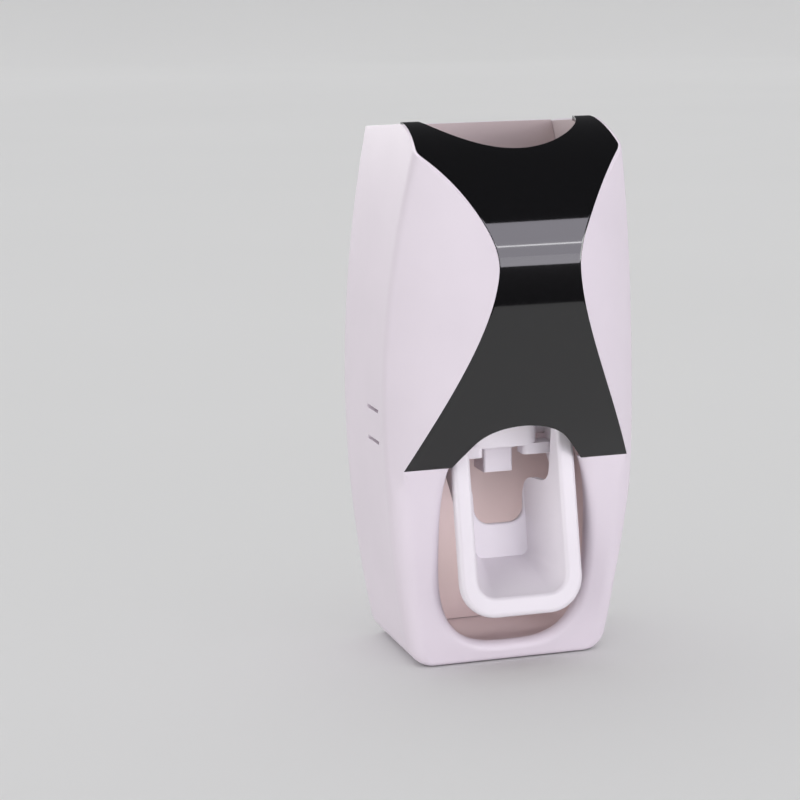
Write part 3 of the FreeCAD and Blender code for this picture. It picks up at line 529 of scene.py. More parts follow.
# %% [markdown]
# ## The lower case
# Below the panel the case has a flat face that leans back, a big soft opening and a foot with rounded
# corners. Here the rows run down one side and under the foot instead. Every row goes from the back edge,
# round the soft edge, over the face and into the opening's lip. Near the panel the rows ease into the last
# level section above, so that no seam shows.

# %% Rows of the lower case
FOOT_R, FOOT_DEPTH, LOWER_SOFT_R, FOOT_SOFT_R = 6.5, 34.8, 5.0, 1.3
CORNER_SOFT_R, CORNER_EASE, SLOPE_LOW, SLOPE_HIGH = 4.0, 15, 3, 8
OPEN_HALF, OPEN_LOW_Z, OPEN_WIDE_Z, OPEN_TOP_Z = 19.4, 4.7, 31.3, 63
OPEN_LOW_ROUND, OPEN_TOP_ROUND = 3.1, 2.9
LIP, LIP_STEPS, LIP_POINTS, LIP_TAIL, FACE_COLUMNS, SEAM_EASE = 2.5, 8, 400, 0.6, 10, 9.0
SIDE_ROWS, CORNER_ROWS, FOOT_ROWS = 26, 14, 12
OPEN_SIDE_STEP, OPEN_SIDE_POINTS, OPEN_FOOT_POINTS = 0.5, 42, 60


def face_depth(z):
    """Depth of the leaning lower face."""
    return FOOT_DEPTH + (-PANEL_FOOT.y - FOOT_DEPTH) * z / PANEL_FOOT_Z


def opening_half(z):
    """Half the opening's width at a height."""
    low, power = (OPEN_LOW_Z, OPEN_LOW_ROUND) if z < OPEN_WIDE_Z else (OPEN_TOP_Z, OPEN_TOP_ROUND)
    return OPEN_HALF * max(1 - abs((z - OPEN_WIDE_Z) / (low - OPEN_WIDE_Z)) ** power, 0) ** (1 / power)


def opening_path():
    """Right half of the opening, from the panel's foot down to the middle of its lower edge."""
    heights = [PANEL_FOOT_Z - OPEN_SIDE_STEP * k for k in range(OPEN_SIDE_POINTS)]
    path = [Vector((opening_half(z), z)) for z in heights]
    for k in range(1, OPEN_FOOT_POINTS + 1):
        a = math.pi / 2 * k / OPEN_FOOT_POINTS
        x = OPEN_HALF * math.cos(a) ** (2 / OPEN_LOW_ROUND)
        drop = (OPEN_WIDE_Z - OPEN_LOW_Z) * math.sin(a) ** (2 / OPEN_LOW_ROUND)
        path.append(Vector((x, OPEN_WIDE_Z - drop)))
    return path


def outline_rows():
    """Points down the side and under the foot, with the way out and the soft edge's radius at each."""
    widening = half_width(SLOPE_HIGH) - half_width(SLOPE_LOW)
    slope = math.atan(widening / (SLOPE_HIGH - SLOPE_LOW))
    touch = FOOT_R - FOOT_R * math.sin(slope)
    corner = Vector((half_width(touch) - FOOT_R * math.cos(slope), FOOT_R))
    rows = []
    for k in range(SIDE_ROWS + 1):
        z = PANEL_FOOT_Z + (touch - PANEL_FOOT_Z) * k / SIDE_ROWS
        soft = CORNER_SOFT_R + (LOWER_SOFT_R - CORNER_SOFT_R) * ease((z - touch) / CORNER_EASE)
        rows.append((Vector((half_width(z), z)), Vector((1, 0)), soft))
    for k in range(1, CORNER_ROWS + 1):
        t = k / CORNER_ROWS
        a = -slope - (math.pi / 2 - slope) * t
        out = -math.pi / 2 * t
        soft = CORNER_SOFT_R + (FOOT_SOFT_R - CORNER_SOFT_R) * t
        point = corner + FOOT_R * Vector((math.cos(a), math.sin(a)))
        rows.append((point, Vector((math.cos(out), math.sin(out))), soft))
    for k in range(1, FOOT_ROWS + 1):
        rows.append((Vector((corner.x * (1 - k / FOOT_ROWS), 0)), Vector((0, -1)), FOOT_SOFT_R))
    return rows


outline = outline_rows()
lip_points = spread(opening_path(), LIP_POINTS)
run = [0.0]
for (a, _, _), (b, _, _) in zip(outline, outline[1:]):
    run.append(run[-1] + (b - a).length)
print("outline", round(run[-1], 1), "mm in", len(outline), "rows")

# %% [markdown]
# ## From the soft edge to the lip
# The row's side and soft edge are first drawn flat, as distance inward and depth, and then turned to face
# the way the outline faces at that point. The lip is a quarter circle that rolls into the opening.

# %% Skin the lower case
WALL, DEPTH_FALL = 2, 1e-4


def lower_row(i):
    """One row from the back edge to the inside of the opening's lip."""
    spot, out, soft = outline[i]
    inner = spot - out * soft
    deep = face_depth(inner.y)
    flat = [Vector((0, 0)), Vector((0, -(deep - soft)))]
    for k in range(1, SOFT_STEPS + 1):
        a = math.pi / 2 * k / SOFT_STEPS
        flat.append(Vector((soft * (1 - math.cos(a)), -(deep - soft) - soft * math.sin(a))))
    flat[-1].y -= DEPTH_FALL
    points = []
    mix = ease((spot.y - PANEL_FOOT_Z + SEAM_EASE) / SEAM_EASE) if out.x == 1 else 0
    top = wall_columns(plan_path(PANEL_FOOT_Z), 0, PANEL_FOOT.y, ROLL)
    for own, above in zip(wall_columns(flat, 0, flat[-1].y), top):
        x = spot.x - out.x * own.x + SIDE_DRAFT * own.y * out.x
        z = spot.y - out.y * own.x
        top_x = above.x + half_width(spot.y) - half_width(PANEL_FOOT_Z)
        points.append(Vector((x, own.y, z)).lerp(Vector((top_x, above.y * deep / -PANEL_FOOT.y, z)), mix))
    k = run[i] / run[-1] * (len(lip_points) - 1)
    lip = lip_points[int(k)].lerp(lip_points[min(int(k) + 1, len(lip_points) - 1)], k - int(k))
    before, after = lip_points[max(int(k) - 2, 0)], lip_points[min(int(k) + 2, len(lip_points) - 1)]
    away = Vector((before.y - after.y, after.x - before.x)).normalized()
    if i in (0, len(outline) - 1):
        away = Vector((1, 0)) if i == 0 else Vector((0, -1))
    edge, rolled = points[-1].copy(), lip + away * LIP
    for k in range(1, FACE_COLUMNS + 1):
        t = k / FACE_COLUMNS
        x, z = edge.x + (rolled.x - edge.x) * t, edge.z + (rolled.y - edge.z) * t
        points.append(Vector((x, -face_depth(z), z)))
    for k in range(1, LIP_STEPS + 1):
        a = math.pi / 2 * k / LIP_STEPS
        p = lip + away * LIP * (1 - math.sin(a))
        points.append(Vector((p.x, -face_depth(p.y) + LIP * (1 - math.cos(a)), p.y)))
    points.append(points[-1] + Vector((0, LIP_TAIL, 0)))
    return [at(*p) for p in points]


lower = [lower_row(i) for i in range(len(outline))]
points = [p for row in upper for p in row]
faces = skin(upper)
columns = len(upper[0])
slit_rows = [stations.index(u_at_height(low)) for low, high in SLITS]
faces = [f for f in faces if not (f[0] // columns in slit_rows
                                  and SLIT_COLUMNS[0] <= f[0] % columns < SLIT_COLUMNS[1])]
first = len(points)
points += [p for row in lower for p in row]
faces += [tuple(v + first for v in f) for f in skin(lower)]
seat_columns = len(SIDE_COLUMNS) + LOBE_COLUMNS - 2
seat = {r * columns + c for r in range(len(upper)) for c in range(seat_columns, columns)}
case = piece("case_moulding", points, faces, "case", "case_white", case_white, ["housing_shell"], seat)
# The inner wall that the solidify adds takes this second material, the painted shade of the case's inside.
case.data.materials.append(case_inside_shade)
case_faces = len(case.data.polygons)
face_outward(case, (1, 0, 0))
add_modifier(case, "MIRROR", merge_threshold=MERGE * MM)
add_modifier(case, "SOLIDIFY", thickness=WALL * MM, offset=-1, vertex_group="wall", material_offset=1)
soften(case, 0.3, 2, 55)
print("case half", case_faces, "faces")

# %% [markdown]
# ## The gloss panel
# Its outline is an hourglass between the lobes, with an arch at the foot for the spout and a half ellipse
# at the top for the tube. Rows follow the belly line, and every row runs from the arch or mouth, or from
# the middle, out to the lobe. A gloss black face shows every dent, so the rows are close and even.

# %% Skin the panel
ARCH_HALF, ARCH_RISE, MOUTH_HALF, MOUTH_REACH = 17, 10.5, 20.2, 17
ARCH_SHAPE = [(1, 0), (0.86, 0.29), (0.635, 0.70), (0.36, 0.92), (0, 1)]
PANEL_T, PANEL_PLAY, PANEL_COLUMNS = 1.2, 0.04, 26
ARCH_STEPS, WAIST_ROWS, MOUTH_ROWS, LAST_U = 6, 90, 24, 1.999


def through(points, steps):
    """Smooth line through points, mirrored past the last one."""
    pts = [Vector(p) for p in points]
    pts = [2 * pts[0] - pts[1]] + pts + [Vector((-pts[-2].x, pts[-2].y))]
    line = []
    for a, b, c, d in zip(pts, pts[1:], pts[2:], pts[3:]):
        for k in range(steps):
            t = k / steps
            line.append(0.5 * (2 * b + (c - a) * t + (2 * a - 5 * b + 4 * c - d) * t * t
                               + (3 * b - a - 3 * c + d) * t ** 3))
    return line + [pts[-2]]


arch = [(ARCH_HALF * p.x, u_at_height(PANEL_FOOT_Z + ARCH_RISE * p.y))
        for p in through(ARCH_SHAPE, ARCH_STEPS)]
mouth_u = 1 + math.acos((MOUTH_REACH / (BELLY_DEPTH - HORN_DEPTH)) ** (UPPER_ROUND / 2)) * 2 / math.pi
arch_u = arch[-1][1]
panel_rows = arch + [(0, arch_u + (mouth_u - arch_u) * k / WAIST_ROWS) for k in range(1, WAIST_ROWS)]
for k in range(MOUTH_ROWS + 1):
    a = math.pi / 2 * (1 - k / MOUTH_ROWS)
    depth = MOUTH_REACH * math.sin(a) / (BELLY_DEPTH - HORN_DEPTH)
    u = 1 + math.acos(depth ** (UPPER_ROUND / 2)) * 2 / math.pi
    panel_rows.append((MOUTH_HALF * math.cos(a), min(u, LAST_U)))
rows = []
for x_in, u in panel_rows:
    depth, z = belly(u)
    x_out = on_path(plan_path(z, panel_band(u)), -depth).x - PANEL_PLAY
    across = [x_in + (x_out - x_in) * k / PANEL_COLUMNS for k in range(PANEL_COLUMNS + 1)]
    rows.append([at(x, -depth, z) for x in across])
panel = piece("gloss_panel", [p for row in rows for p in row], skin(rows), "case", "panel_black",
              panel_black, ["front_panel"])
face_outward(panel, (0, -1, 0))
add_modifier(panel, "MIRROR", merge_threshold=MERGE * MM)
add_modifier(panel, "SOLIDIFY", thickness=PANEL_T * MM, offset=-1)
soften(panel, 0.25, 2, 55)
print("panel", len(rows), "rows, arch", round(arch_u, 3), "mouth", round(mouth_u, 3))

# %% [markdown]
# ## The brush scoop
# A rounded rim, a trough that narrows backward and a notched back plate are all the same U seen at
# different depths. So each one is a closed profile swept along a U, with softly rolled edges. The scoop is
# drawn upright and leaned back as a whole.

# %% Sweep along a U
LEAN = math.radians(11)
RIM_HALF, RIM_HIGH, RIM_R, RIM_SIDE, RIM_FOOT, RIM_T = 16.1, 46, 9, 4.2, 4.5, 2.4
TROUGH_DEPTH, TROUGH_BACK_HALF, TROUGH_RISE, TROUGH_BACK_R, TROUGH_T = 14.9, 7, 9.5, 2, 1.6
NOTCH_HALF, NOTCH_FOOT, NOTCH_R, NOTCH_EDGE, EDGE = 6.6, 22.7, 4, 0.6, 1.2
RIM_SETBACK, LEAN_Z = 1.8, 14.6
LEAN_Y = PANEL_FOOT.y + RIM_SETBACK - (PANEL_FOOT_Z - LEAN_Z) * math.tan(LEAN)
U_SIDE, U_CORNER, U_FOOT, EDGE_STEPS, TROUGH_STEPS = 24, 12, 6, 5, (3, 6, 9, 12)


def leaned(x, v, s):
    """Point of the scoop from its place across, behind the rim's front and above the rim's foot."""
    return at(x, LEAN_Y + v * math.cos(LEAN) + s * math.sin(LEAN),
              LEAN_Z - v * math.sin(LEAN) + s * math.cos(LEAN))


def u_line(half, foot, radius):
    """A U from its right-hand top, round its foot, to its left-hand top."""
    right = [Vector((half, RIM_HIGH + (foot + radius - RIM_HIGH) * k / U_SIDE)) for k in range(U_SIDE)]
    for k in range(U_CORNER + 1):
        a = -math.pi / 2 * k / U_CORNER
        right.append(Vector((half - radius + radius * math.cos(a), foot + radius + radius * math.sin(a))))
    right += [Vector(((half - radius) * (1 - k / U_FOOT), foot)) for k in range(1, U_FOOT)]
    return right + [Vector((0, foot))] + [Vector((-p.x, p.y)) for p in reversed(right)]


def swept(profile):
    """Points and faces of a closed profile of (half, foot, radius, depth) swept along its U."""
    lines = [[leaned(p.x, v, p.y) for p in u_line(h, f, r)] for h, f, r, v in profile]
    rows = [list(row) for row in zip(*lines)]
    faces = skin(rows, closed=True)
    count, last = len(profile), (len(rows) - 1) * len(profile)
    faces.append(tuple(range(count)))
    faces.append(tuple(last + k for k in reversed(range(count))))
    return [p for row in rows for p in row], faces


def trough_at(v, out=0.0):
    """The trough's U at a depth, grown outward by a wall."""
    t = v / TROUGH_DEPTH
    half = RIM_HALF - RIM_SIDE + (TROUGH_BACK_HALF - RIM_HALF + RIM_SIDE) * t
    radius = RIM_R - RIM_SIDE + (TROUGH_BACK_R - RIM_R + RIM_SIDE) * t
    return half + out, RIM_FOOT + TROUGH_RISE * t - out, radius + out, v


quarter = [math.pi / 2 * k / EDGE_STEPS for k in range(EDGE_STEPS + 1)]
rim = [(RIM_HALF, 0, RIM_R, RIM_T)]
for a in quarter:
    o = EDGE * (1 - math.cos(a))
    rim.append((RIM_HALF - o, o, RIM_R - o, EDGE * (1 - math.sin(a))))
for a in reversed(quarter):
    half, foot, radius, _ = trough_at(EDGE)
    o = EDGE * (1 - math.cos(a))
    rim.append((half + o, foot - o, radius + o, EDGE * (1 - math.sin(a))))
back_v = TROUGH_DEPTH + TROUGH_T
rim += [trough_at(v) for v in (*TROUGH_STEPS, TROUGH_DEPTH, back_v)]
rim += [trough_at(v, TROUGH_T) for v in (back_v, TROUGH_DEPTH, *reversed(TROUGH_STEPS[1:]), RIM_T)]
half, foot, radius, _ = trough_at(TROUGH_DEPTH, TROUGH_T / 2)
plate = [(half, foot, radius, back_v), (half, foot, radius, TROUGH_DEPTH)]
for a in reversed(quarter):
    o = NOTCH_EDGE * (1 - math.cos(a))
    v = TROUGH_DEPTH + NOTCH_EDGE * (1 - math.sin(a))
    plate.append((NOTCH_HALF + o, NOTCH_FOOT - o, NOTCH_R + o, v))
plate.append((NOTCH_HALF, NOTCH_FOOT, NOTCH_R, back_v))
print("rim profile", len(rim), "points, back plate", len(plate))

# %% [markdown]
# ## Room for the pump
# The trough's upper rear is cut away in a rounded step, because the pump's block comes down there. A
# cutter with that outline takes it off, and is thrown away. The arms, which nobody sees whole, are taken
# from the solid: a copy of its mesh, cut just outside the trough and a hair inside the rim's back, because
# faces that lie in one plane would show as a dark line.

# %% Cut the step and add the arms
RELIEF_Y, RELIEF_Z, RELIEF_R, ARM_INNER, WALL_END = -35, 45.5, 3, 13.25, -25.5
STEP_TOP, STEP_LOW, STEP_ROUND, ARM_TUCK = 80, 20, 8, 0.02


def prism_faces(count, first=0):
    """End faces and sides of a prism whose two outlines of points follow each other."""
    near, far = range(first, first + count), range(first + count, first + 2 * count)
    after = [first + (k + 1) % count for k in range(count)]
    sides = [(k, k + count, n + count, n) for k, n in zip(near, after)]
    return [tuple(near), tuple(reversed(far))] + sides


def cut_away(obj, cutter_points, cutter_faces):
    """Take a closed form off a piece for good."""
    mesh = bpy.data.meshes.new("cutter")
    mesh.from_pydata([tuple(p) for p in cutter_points], [], cutter_faces)
    cutter = bpy.data.objects.new("cutter", mesh)
    bpy.context.scene.collection.objects.link(cutter)
    bm = bmesh.new()
    bm.from_mesh(mesh)
    bmesh.ops.recalc_face_normals(bm, faces=bm.faces)
    bm.to_mesh(mesh)
    bm.free()
    add_modifier(obj, "BOOLEAN", object=cutter, operation="DIFFERENCE", solver="EXACT")
    bpy.context.view_layer.update()
    graph = bpy.context.evaluated_depsgraph_get()
    result = bpy.data.meshes.new_from_object(obj.evaluated_get(graph))
    obj.modifiers.clear()
    obj.data = result
    bpy.data.objects.remove(cutter)


step = [(RELIEF_Y, STEP_TOP), (RELIEF_Y, RELIEF_Z + RELIEF_R)]
for k in range(1, STEP_ROUND + 1):
    a = math.pi + math.pi / 2 * k / STEP_ROUND
    step.append((RELIEF_Y + RELIEF_R + RELIEF_R * math.cos(a),
                 RELIEF_Z + RELIEF_R + RELIEF_R * math.sin(a)))
for k in range(STEP_ROUND + 1):
    a = math.pi / 2 * (1 - k / STEP_ROUND)
    step.append((WALL_END - RELIEF_R + RELIEF_R * math.cos(a),
                 RELIEF_Z - RELIEF_R + RELIEF_R * math.sin(a)))
step += [(WALL_END, STEP_LOW), (0, STEP_LOW), (0, STEP_TOP)]
cutter_points = [at(x, y, z) for x in (-ARM_INNER, ARM_INNER) for y, z in step]
cutter_faces = prism_faces(len(step))
points, faces = swept(rim)
scoop = piece("brush_scoop", points, faces, "pusher", "pusher_white", scoop_white, ["pusher_scoop"])
cut_away(scoop, cutter_points, cutter_faces)
points, faces = swept(plate)
back_plate = piece("scoop_back", points, faces, "pusher", "pusher_white", scoop_white)
cut_away(back_plate, cutter_points, cutter_faces)

bm = bmesh.new()
bm.from_mesh(bpy.data.objects["pusher_scoop"].data)
arms = bmesh.new()
for sign in (-1, 1):
    half = bm.copy()
    for spot, normal in ((at(sign * ARM_INNER, 0, 0), Vector((sign, 0, 0))),
                         (leaned(0, RIM_T - ARM_TUCK, 0), Vector((0, math.cos(LEAN), -math.sin(LEAN))))):
        whole = half.verts[:] + half.edges[:] + half.faces[:]
        got = bmesh.ops.bisect_plane(half, geom=whole, plane_co=spot, plane_no=normal, clear_inner=True)
        rims = [e for e in got["geom_cut"] if isinstance(e, bmesh.types.BMEdge)]
        bmesh.ops.holes_fill(half, edges=rims)
    spare = bpy.data.meshes.new("arm")
    half.to_mesh(spare)
    half.free()
    arms.from_mesh(spare)
    bpy.data.meshes.remove(spare)
bm.free()
mesh = bpy.data.meshes.new("scoop_arms")
arms.to_mesh(mesh)
arms.free()
scoop_arms = piece("scoop_arms", *mesh_parts(mesh), "pusher", "pusher_white", scoop_white)
add_modifier(scoop_arms, "DECIMATE", decimate_type="DISSOLVE", angle_limit=math.radians(0.5))
for part in (scoop, back_plate, scoop_arms):
    soften(part, 0.3, 3, 50)
    add_modifier(part, "WEIGHTED_NORMAL", keep_sharp=True)
print("scoop", len(scoop.data.polygons), "faces, arms", len(scoop_arms.data.polygons))

# %% [markdown]
# ## The wall pad and the spring
# The pad is double-sided foam tape: its sides bulge a little between the two films. It is lofted as rounded
# rectangles of slightly different size. The spring is round wire on a helix, built at one length, though
# the real one shortens towards the shelf as the plunger comes up.

# %% Foam pad
PAD_CORNER = 4
PAD_BULGE = ((0, 0.45), (0.06, 0.2), (0.25, 0.05), (0.5, 0), (0.75, 0.05), (0.94, 0.2), (1, 0.45))


def rounded(half_x, half_z, radius, steps=8):
    """Corners of a rounded rectangle round the middle."""
    ring = []
    for q, (sx, sz) in enumerate(((1, 1), (-1, 1), (-1, -1), (1, -1))):
        for k in range(steps + 1):
            a = math.pi / 2 * (q + k / steps)
            ring.append(Vector((sx * (half_x - radius) + radius * math.cos(a),
                                sz * (half_z - radius) + radius * math.sin(a))))
    return ring


pad_low, pad_high = (Vector(c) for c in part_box("adhesive_pad"))
pad_mid, pad_half = (pad_low + pad_high) / 2, (pad_high - pad_low) / 2
rows = []
for t, inset in PAD_BULGE:
    y = pad_low.y + (pad_high.y - pad_low.y) * t
    ring = rounded(pad_half.x - inset * MM, pad_half.z - inset * MM, PAD_CORNER * MM)
    rows.append([Vector((pad_mid.x + p.x, y, pad_mid.z + p.y)) for p in ring])
count, last = len(rows[0]), (len(rows) - 1) * len(rows[0])
faces = skin(rows, closed=True) + [tuple(range(count)), tuple(last + k for k in reversed(range(count)))]
pad = piece("wall_pad", [p for row in rows for p in row], faces, "case", "foam", foam, ["adhesive_pad"])
print("pad", [round(v / MM, 1) for v in pad_high - pad_low], "mm")

# %% Spring
SPRING_TURNS, TURN_STEPS, WIRE_R, WIRE_SIDES = 3, 40, 0.45 * MM, 12
spring_low, spring_high = (Vector(c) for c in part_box("return_spring"))
spring_mid = (spring_low + spring_high) / 2
coil_r = (spring_high.x - spring_low.x) / 2 - WIRE_R
rows = []
steps = SPRING_TURNS * TURN_STEPS
for k in range(steps + 1):
    a = 2 * math.pi * k / TURN_STEPS
    rise = spring_low.z + WIRE_R + (spring_high.z - spring_low.z - 2 * WIRE_R) * k / steps
    out = Vector((math.cos(a), math.sin(a), 0))
    core = Vector((spring_mid.x, spring_mid.y, rise)) + out * coil_r
    wire = [2 * math.pi * s / WIRE_SIDES for s in range(WIRE_SIDES)]
    rows.append([core + WIRE_R * (out * math.cos(w) + Vector((0, 0, math.sin(w)))) for w in wire])
last = (len(rows) - 1) * WIRE_SIDES
faces = skin(rows, closed=True)
faces += [tuple(range(WIRE_SIDES)), tuple(last + k for k in reversed(range(WIRE_SIDES)))]
spring = piece("pump_spring", [p for row in rows for p in row], faces, "case", "steel", steel,
               ["return_spring"])
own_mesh(spring)

# %% [markdown]
# ## Screw heads
# The four screws of the rear cover take a cross driver. Once welded, each screw is a loose island of the
# mesh, so its own box says where the cross has to go.

# %% Cut a cross into each head
CROSS_HALF, CROSS_LONG, CROSS_DEEP = 0.45 * MM, 1.7 * MM, 1.0 * MM
case_screws = piece("case_screws", *mesh_parts(bpy.data.objects["cover_screws"].data), "case", "steel",
                    steel, ["cover_screws"])
bm = bmesh.new()
bm.from_mesh(case_screws.data)
seen, screws = set(), []
for start in bm.verts:
    island, waiting = set(), [] if start in seen else [start]
    while waiting:
        vert = waiting.pop()
        if vert not in island:
            island.add(vert)
            waiting += [edge.other_vert(vert) for edge in vert.link_edges]
    if island:
        screws.append([vert.co.copy() for vert in island])
        seen |= island
bm.free()
arm, cross = [(-CROSS_HALF, -CROSS_LONG), (CROSS_HALF, -CROSS_LONG), (CROSS_HALF, -CROSS_HALF)], []
for _ in range(4):
    cross += arm
    arm = [(-z, x) for x, z in arm]
cutter_points, cutter_faces = [], []
for spots in screws:
    mid_x = (min(p.x for p in spots) + max(p.x for p in spots)) / 2
    mid_z = (min(p.z for p in spots) + max(p.z for p in spots)) / 2
    face_y = max(p.y for p in spots)
    cutter_faces += prism_faces(len(cross), len(cutter_points))
    for y in (face_y - CROSS_DEEP, face_y + CROSS_DEEP):
        cutter_points += [Vector((mid_x + x, y, mid_z + z)) for x, z in cross]
cut_away(case_screws, cutter_points, cutter_faces)
add_modifier(case_screws, "DECIMATE", decimate_type="DISSOLVE", angle_limit=math.radians(1))
soften(case_screws, 0.15, 2, 35)
add_modifier(case_screws, "WEIGHTED_NORMAL", keep_sharp=True)
print("crossed", len(screws), "screw heads")

# %% [markdown]
# ## The mouldings that stay as they are
# The rest of the solids already have the right shape and keep their own edges. On the larger ones flat
# neighbours are joined again and the normals weighted, so that flat faces shade as flat.

# %% Finish the other solids
FLAT_WITHIN = math.radians(1)
FINISH_OF = {"rear_cover": cover_white_and_shade, "wall_plate": pump_white, "pump_frame": pump_white,
             "pump_cylinder": pump_white, "tube_seal": silicone, "seal_collar": pump_white,
             "plunger": scoop_white, "piston_seal": silicone, "seal_retainer": pump_white,
             "outlet_valve": silicone, "inlet_valve": silicone, "nozzle_cap": scoop_white,
             "hinge_pins": steel, "flange_screws": steel}
for node, finish in FINISH_OF.items():
    obj = bpy.data.objects[node]
    obj.data.materials.clear()
    obj.data.materials.append(finish)
for node in ("plunger", "nozzle_cap", "rear_cover", "wall_plate", "pump_frame", "pump_cylinder",
             "tube_seal", "seal_collar"):
    obj = bpy.data.objects[node]
    for poly in obj.data.polygons:
        poly.use_smooth = True
    add_modifier(obj, "DECIMATE", decimate_type="DISSOLVE", angle_limit=FLAT_WITHIN)
    add_modifier(obj, "WEIGHTED_NORMAL", keep_sharp=True)
print("finished", len(FINISH_OF), "solids")

# %% [markdown]
# ## The floor
# A pale round floor carries the shadow. It turns up at its rim, so that no edge shows from any side.

# %% Round floor with a turned-up rim
FLOOR_R, SWEEP_R, FLOOR_SIDES, SWEEP_STEPS = 3.4, 0.4, 96, 12
FLOOR_GAP, FLAT_RIM, MOTTLE_SCALE = 0.0002, 0.1, 3
floor_mat, nodes, join, shader, place = finish_nodes("floor_paint")
shader.inputs["Roughness"].default_value = 0.8
mottle = nodes.new("ShaderNodeTexNoise")
mottle.inputs["Scale"].default_value = MOTTLE_SCALE
join(place, mottle.inputs["Vector"])
paint = nodes.new("ShaderNodeValToRGB")
paint.color_ramp.elements[0].color = (0.80, 0.80, 0.80, 1)
paint.color_ramp.elements[1].color = (0.83, 0.83, 0.83, 1)
join(mottle.outputs["Fac"], paint.inputs["Fac"])
join(paint.outputs["Color"], shader.inputs["Base Color"])
mesh = bpy.data.meshes.new("floor")
floor_z = case_low[2] - FLOOR_GAP
sweep = [(FLOOR_R - FLAT_RIM, floor_z)]
for k in range(SWEEP_STEPS + 1):
    a = math.pi / 2 * k / SWEEP_STEPS
    sweep.append((FLOOR_R + SWEEP_R * math.sin(a), floor_z + SWEEP_R * (1 - math.cos(a))))
around = [2 * math.pi * k / FLOOR_SIDES for k in range(FLOOR_SIDES)]
rows = [[(r * math.cos(a), r * math.sin(a), z) for a in around] for r, z in reversed(sweep)]
disc = tuple((len(rows) - 1) * FLOOR_SIDES + k for k in range(FLOOR_SIDES))
mesh.from_pydata([p for row in rows for p in row], [], skin(rows, closed=True) + [disc])
mesh.shade_smooth()
mesh.materials.append(floor_mat)
floor = bpy.data.objects.new("floor", mesh)
bpy.context.scene.collection.objects.link(floor)
print("floor", FLOOR_R, "m to its rim")

# %% [markdown]
# ## What each lamp may reach
# A gloss panel mirrors all round it, so the lamps are linked to what they are for. One wide lamp lights the
# floor alone, the larger boxes leave the floor out, the top box leaves the panel out as well, and one
# small lamp lights nothing but the case and the rear cover.

# %% Groups for the lamps
floor_only = bpy.data.collections.new("floor_only")
floor_only.objects.link(floor)
off_floor, off_panel = bpy.data.collections.new("off_floor"), bpy.data.collections.new("off_panel")
for kept_dark, things in ((off_floor, [floor]), (off_panel, [floor, panel])):
    for thing in things:
        kept_dark.objects.link(thing)
    for entry in kept_dark.collection_objects:
        entry.light_linking.link_state = "EXCLUDE"
inner_only = bpy.data.collections.new("inner_only")
inner_only.objects.link(case)
inner_only.objects.link(bpy.data.objects["rear_cover"])
print("lamp groups", [group.name for group in (floor_only, off_floor, off_panel, inner_only)])

# %% [markdown]
# ## A black card
# A card on the floor in front keeps the floor's brightness out of the panel. Only reflections see it: it
# casts no shadow, dims no other face and stays out of the picture.

# %% Lay the card
CARD_NEAR, CARD_FAR, CARD_LEFT, CARD_RIGHT = -0.23, -0.95, -0.3, 0.7
mesh = bpy.data.meshes.new("black_card")
corners = [(CARD_LEFT, CARD_FAR), (CARD_RIGHT, CARD_FAR), (CARD_RIGHT, CARD_NEAR), (CARD_LEFT, CARD_NEAR)]
mesh.from_pydata([(x, y, floor_z + MM) for x, y in corners], [], [(0, 1, 2, 3)])
card_mat, _, _, shader, _ = finish_nodes("card_black")
shader.inputs["Base Color"].default_value = (0.01, 0.01, 0.01, 1)
shader.inputs["Roughness"].default_value = 0.9
mesh.materials.append(card_mat)
card = bpy.data.objects.new("black_card", mesh)
card.visible_camera = card.visible_diffuse = card.visible_shadow = False
bpy.context.scene.collection.objects.link(card)
print("card", round(CARD_RIGHT - CARD_LEFT, 2), "m wide")

# %% [markdown]
# ## The sky
# It is pale low down behind the object and dim elsewhere, so the panel stays black where it looks at the
# dark side.

# %% Dim and pale sky
world = bpy.data.worlds.new("studio")
world.use_nodes = True
bpy.context.scene.world = world
nodes, links = world.node_tree.nodes, world.node_tree.links
way = nodes.new("ShaderNodeTexCoord")
axes = nodes.new("ShaderNodeSeparateXYZ")
links.new(way.outputs["Generated"], axes.inputs["Vector"])
turned = nodes.new("ShaderNodeMapRange")
turned.inputs["From Min"].default_value = -0.3
turned.inputs["From Max"].default_value = 0.5
links.new(axes.outputs["Y"], turned.inputs["Value"])
low_down = nodes.new("ShaderNodeMapRange")
low_down.inputs["From Min"].default_value = 0.18
low_down.inputs["From Max"].default_value = 0.0
links.new(axes.outputs["Z"], low_down.inputs["Value"])
swept_back = nodes.new("ShaderNodeMath")
swept_back.operation = "MULTIPLY"
links.new(turned.outputs["Result"], swept_back.inputs[0])
links.new(low_down.outputs["Result"], swept_back.inputs[1])
sky = nodes.new("ShaderNodeValToRGB")
sky.color_ramp.elements[0].color = (0.07, 0.07, 0.075, 1)
sky.color_ramp.elements[1].color = (0.85, 0.85, 0.86, 1)
links.new(swept_back.outputs["Value"], sky.inputs["Fac"])
links.new(sky.outputs["Color"], nodes["Background"].inputs["Color"])
print("sky", world.name)

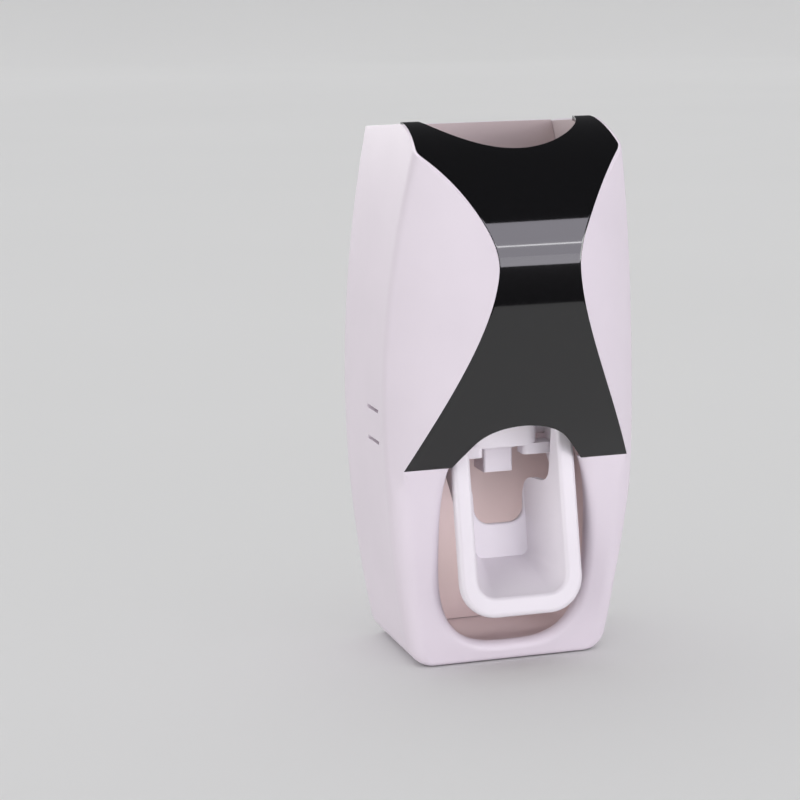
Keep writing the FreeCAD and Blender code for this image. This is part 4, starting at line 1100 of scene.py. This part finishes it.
# %% [markdown]
# ## The lamps
# The waist box and its strip give the panel's grey band and the bright line in it. Boxes at the left, the
# right, the back and the top light the white case, and a low one reaches the face round the opening. Two
# tiny ones inside the case and in the arch lift what would be too dark there.

# %% Soft boxes


def soft_box(name, place, aim, size, watts, colour=(1, 1, 1), lights=None):
    """A rectangular soft box that looks at a point, and may light only some things."""
    data = bpy.data.lights.new(name, "AREA")
    data.color = colour
    data.shape = "RECTANGLE"
    data.size, data.size_y = size
    data.energy = watts
    lamp = bpy.data.objects.new(name, data)
    lamp.location = place
    lamp.rotation_euler = (Vector(aim) - Vector(place)).to_track_quat("-Z", "Y").to_euler()
    lamp.light_linking.receiver_collection = lights
    bpy.context.scene.collection.objects.link(lamp)


centre = at(0, -30, 70)
soft_box("waist_box", (0.27, -0.90, 0.24), centre, (0.4, 0.66), 2.8, (0.93, 0.89, 1.0), off_floor)
soft_box("waist_strip", (0.265, -0.885, 0.246), centre, (0.4, 0.018), 0.16, lights=off_floor)
soft_box("left_box", (-1.2, -0.54, 0.35), centre, (0.9, 0.9), 9.6, lights=off_floor)
soft_box("low_box", (0.52, -0.72, 0.1), at(0, -35, 25), (0.3, 0.3), 1.7, lights=off_floor)
soft_box("back_box", (-0.3, 1.25, 0.45), centre, (0.7, 0.7), 6.0, lights=off_floor)
soft_box("right_box", (1.2, -0.4, 0.4), centre, (0.8, 0.8), 2.2, lights=off_floor)
soft_box("top_box", (0.0, 0.25, 1.2), centre, (0.7, 0.5), 8.0, lights=off_panel)
soft_box("floor_wash", (0, 0, 1.6), (0, 0, 0), (12, 12), 340.0, lights=floor_only)
soft_box("inner_glow", at(0, -20, 24), at(0, 0, 24), (0.034, 0.030), 0.0030, (1.0, 0.94, 0.93), inner_only)
soft_box("arch_glow", at(0, -39.5, 62.5), at(0, -30, 57), (0.022, 0.004), 0.00045)
bpy.context.scene.view_settings.view_transform = "Standard"
print("studio lit")

# %% [markdown]
# ## Finish

# %% Finish
bpy.context.view_layer.update()
